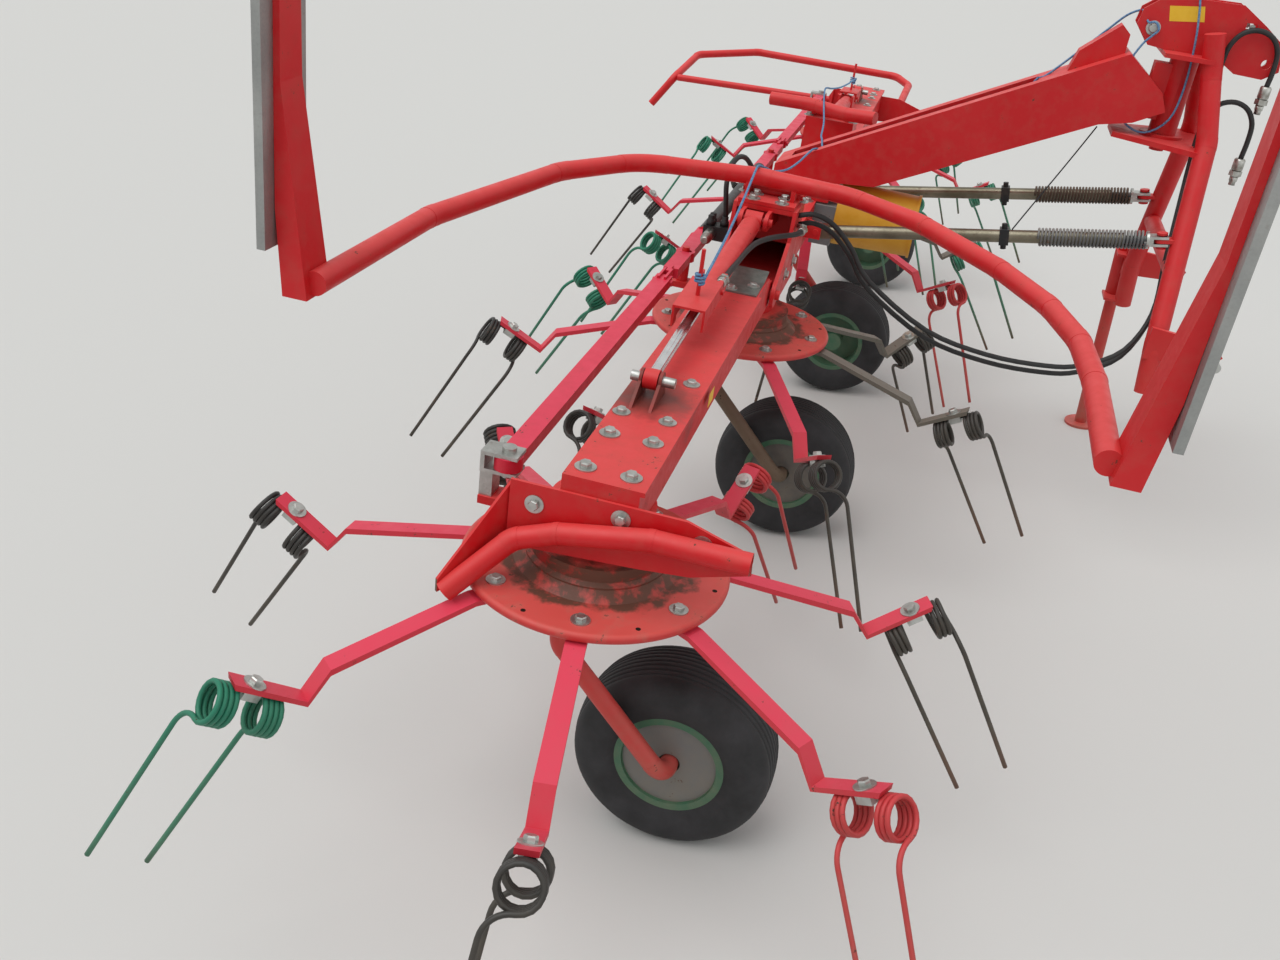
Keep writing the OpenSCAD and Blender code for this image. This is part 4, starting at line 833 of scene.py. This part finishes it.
# %% [markdown]
# ## Ribbed tyres
# The tyres have seven ribs that run round them, as front tyres of tractors do, and a rounded
# wall. The profile is turned round the hub, which is how such a form is made exactly, and it
# stands for the plain tyre of the CAD model.

# %% Profile of a tyre
TYRE_R, TYRE_HALF, BEAD_R = 203, 82.5, 102
RIBS, TREAD_WIDTH, GROOVE = 7, 92, 5

def crown(x):
    """Height of the tread, which falls a little towards its edges."""
    return TYRE_R - 10 * (x / (TREAD_WIDTH / 2)) ** 2 * 0.45

def tyre_profile():
    wall = [(-62, BEAD_R), (-68, BEAD_R + 8), (-TYRE_HALF + 4, BEAD_R + 20)]
    for i in range(9):
        turn = math.radians(180 - i * 11)
        wall.append((-TYRE_HALF + 38 + 38 * math.cos(turn), BEAD_R + 50 + 46 * math.sin(turn)))
    wall = [p for p in wall if p[0] < -44] + [(-47, TYRE_R - 9)]
    tread = []
    for i in range(RIBS):
        left = -TREAD_WIDTH / 2 + TREAD_WIDTH * i / RIBS
        right = left + TREAD_WIDTH / RIBS
        tread += [(left + 1.6, crown(left) - GROOVE), (left + 2.6, crown(left)),
                  (right - 2.6, crown(right)), (right - 1.6, crown(right) - GROOVE)]
    return wall + tread + [(-x, r) for x, r in reversed(wall)]

print("profile of", len(tyre_profile()), "points")

# %% Turn the tyres
STEPS = 72
profile = tyre_profile()
n = len(profile)
faces = [(i * n + j, i * n + (j + 1) % n, ((i + 1) % STEPS) * n + (j + 1) % n, ((i + 1) % STEPS) * n + j)
         for i in range(STEPS) for j in range(n)]
for k in range(4):
    side = 1 if ROTOR_X[k] > 0 else -1
    hub = Vector((ROTOR_X[k] - side * WHEEL_IN, HUB_Y, HUB_Z))
    points = []
    for i in range(STEPS):
        turn = 2 * math.pi * i / STEPS
        points += [hub + Vector((x, r * math.cos(turn), r * math.sin(turn))) for x, r in profile]
    build(f"ribbed_tyre_{k + 1}", f"wheel_{k + 1}", [tyre_rubber], [(points, faces, 0, True)],
          f"tyre_{k + 1}")

# %% [markdown]
# ## Springs of the dampers
# Each damper carries a long spring of round wire. It is wound as a helix between the same two
# ends as its CAD solid. The one of the right damper is bare steel, and the other has rusted.

# %% Wind the springs
DAMPER_X, DAMPER_FROM = 262, Vector((0, DAMPER_Y, DAMPER_Z))
SPRING_FROM, SPRING_LONG, SPRING_R, SPRING_WIRE = 622, 281, 22.6, 3.6
SPRING_TURNS, SPRING_STEPS = 30, 14
along_damper = (Vector((0, 1050, 979)) - DAMPER_FROM).normalized()
sideways = Vector((1, 0, 0))
upward = sideways.cross(along_damper)
for side, word, worn in ((1, "right", spring_steel), (-1, "left", spring_brown)):
    path = []
    count = SPRING_TURNS * SPRING_STEPS
    for i in range(count + 1):
        turn = 2 * math.pi * i / SPRING_STEPS
        along = SPRING_FROM + SPRING_LONG * i / count
        middle = DAMPER_FROM + along_damper * along + sideways * (side * DAMPER_X)
        path.append(middle + (sideways * math.cos(turn) + upward * math.sin(turn)) * SPRING_R)
    build(f"damper_spring_{word}", f"damper_rod_{word}", [worn], [rod(path, SPRING_WIRE, 6)],
          f"spring_{word}")

# %% [markdown]
# ## Bolts on the frame
# Hexagon bolts hold the gear housings to the beams, the end guards, the tower seat and the
# hinges. Each group rides on the body that it holds. A row of numbers gives a bolt's place, the
# way it faces, and the size of its spanner.

# %% Bolts of the wings
UP = (0, 0, 1)

def bolts_on(name, body, places):
    bits = []
    for x, y, z, axis, flats in places:
        bits += bolt((x, y, z), axis, flats)
    build(name, body, [zinc_plate], bits)

for side, word in ((1, "right"), (-1, "left")):
    places = [(side * x, y, 856, UP, 19) for x in (1925, 2065) for y in (-22, 58)]
    places += [(side * x, y, 856, UP, 17) for x in (1640, 1830) for y in (60, -28)]
    end_plate = ((-90, 790), (60, 802), (200, 792), (-100, 725))
    places += [(side * 2110.3, y, z, (side, 0, 0), 17) for y, z in end_plate]
    places += [(side * x, y, 860.3, UP, 15) for x, y in ((1000, -30), (1000, 62), (1045, 16))]
    bolts_on(f"beam_bolts_{word}", f"wing_{word}", places)

# %% Bolts of the tower and the arch's seat, and pins of the headstock
places = []
for side in (-1, 1):
    places += [(side * 585, y, 976, UP, 17) for y in (-60, 95)]
    for x in (600, 730):
        places += [(side * x, 101, 820, (0, 1, 0), 17), (side * x, -66, 820, (0, -1, 0), 17)]
    places += [(side * 100, y, 856, UP, 19) for y in (-40, 60)]
bolts_on("tower_bolts", "frame", places)
bolts_on("seat_bolts", "guard", [(x, y, 987, UP, 19) for x in (640, 688) for y in (-20, 56)])

pins = []
for side in (-1, 1):
    outward = (side, 0, 0)
    pins.append(stack((side * 38, 889, 1485), outward, [(0, 19), (3, 19), (3.2, 18)], 28))
    pins.append(stack((side * 41, 889, 1485), outward, [(0, 12), (7, 12), (9, 10)], 20, 0, True))
    pins.append(stack((side * 38, 1133, 1524), outward, [(0, 8.5), (5, 8.5)], 6))
build("bracket_pins", "headstock", [zinc_plate], pins)

# %% [markdown]
# ## Blank stickers
# Where the machine carries stickers there are plain yellow ones of the same size, in smooth
# vinyl 0.4 mm thick. The side of the drawbar is left bare.

# %% Stickers
def sticker(name, body, corner, along, up, out):
    corner, along, up = Vector(corner), Vector(along), Vector(up)
    outline = [corner, corner + along, corner + along + up, corner + up]
    build(name, body, [yellow_vinyl], [slab(outline, out)])

sticker("sticker_beam", "wing_right", (1560, 93.2, 800), (46, 0, 0), (0, 0, 30), (0, 0.4, 0))
sticker("sticker_bracket", "headstock", (38.1, 924, 1508), (0, 88, 11), (0, -10, 38), (0.4, 0, 0))
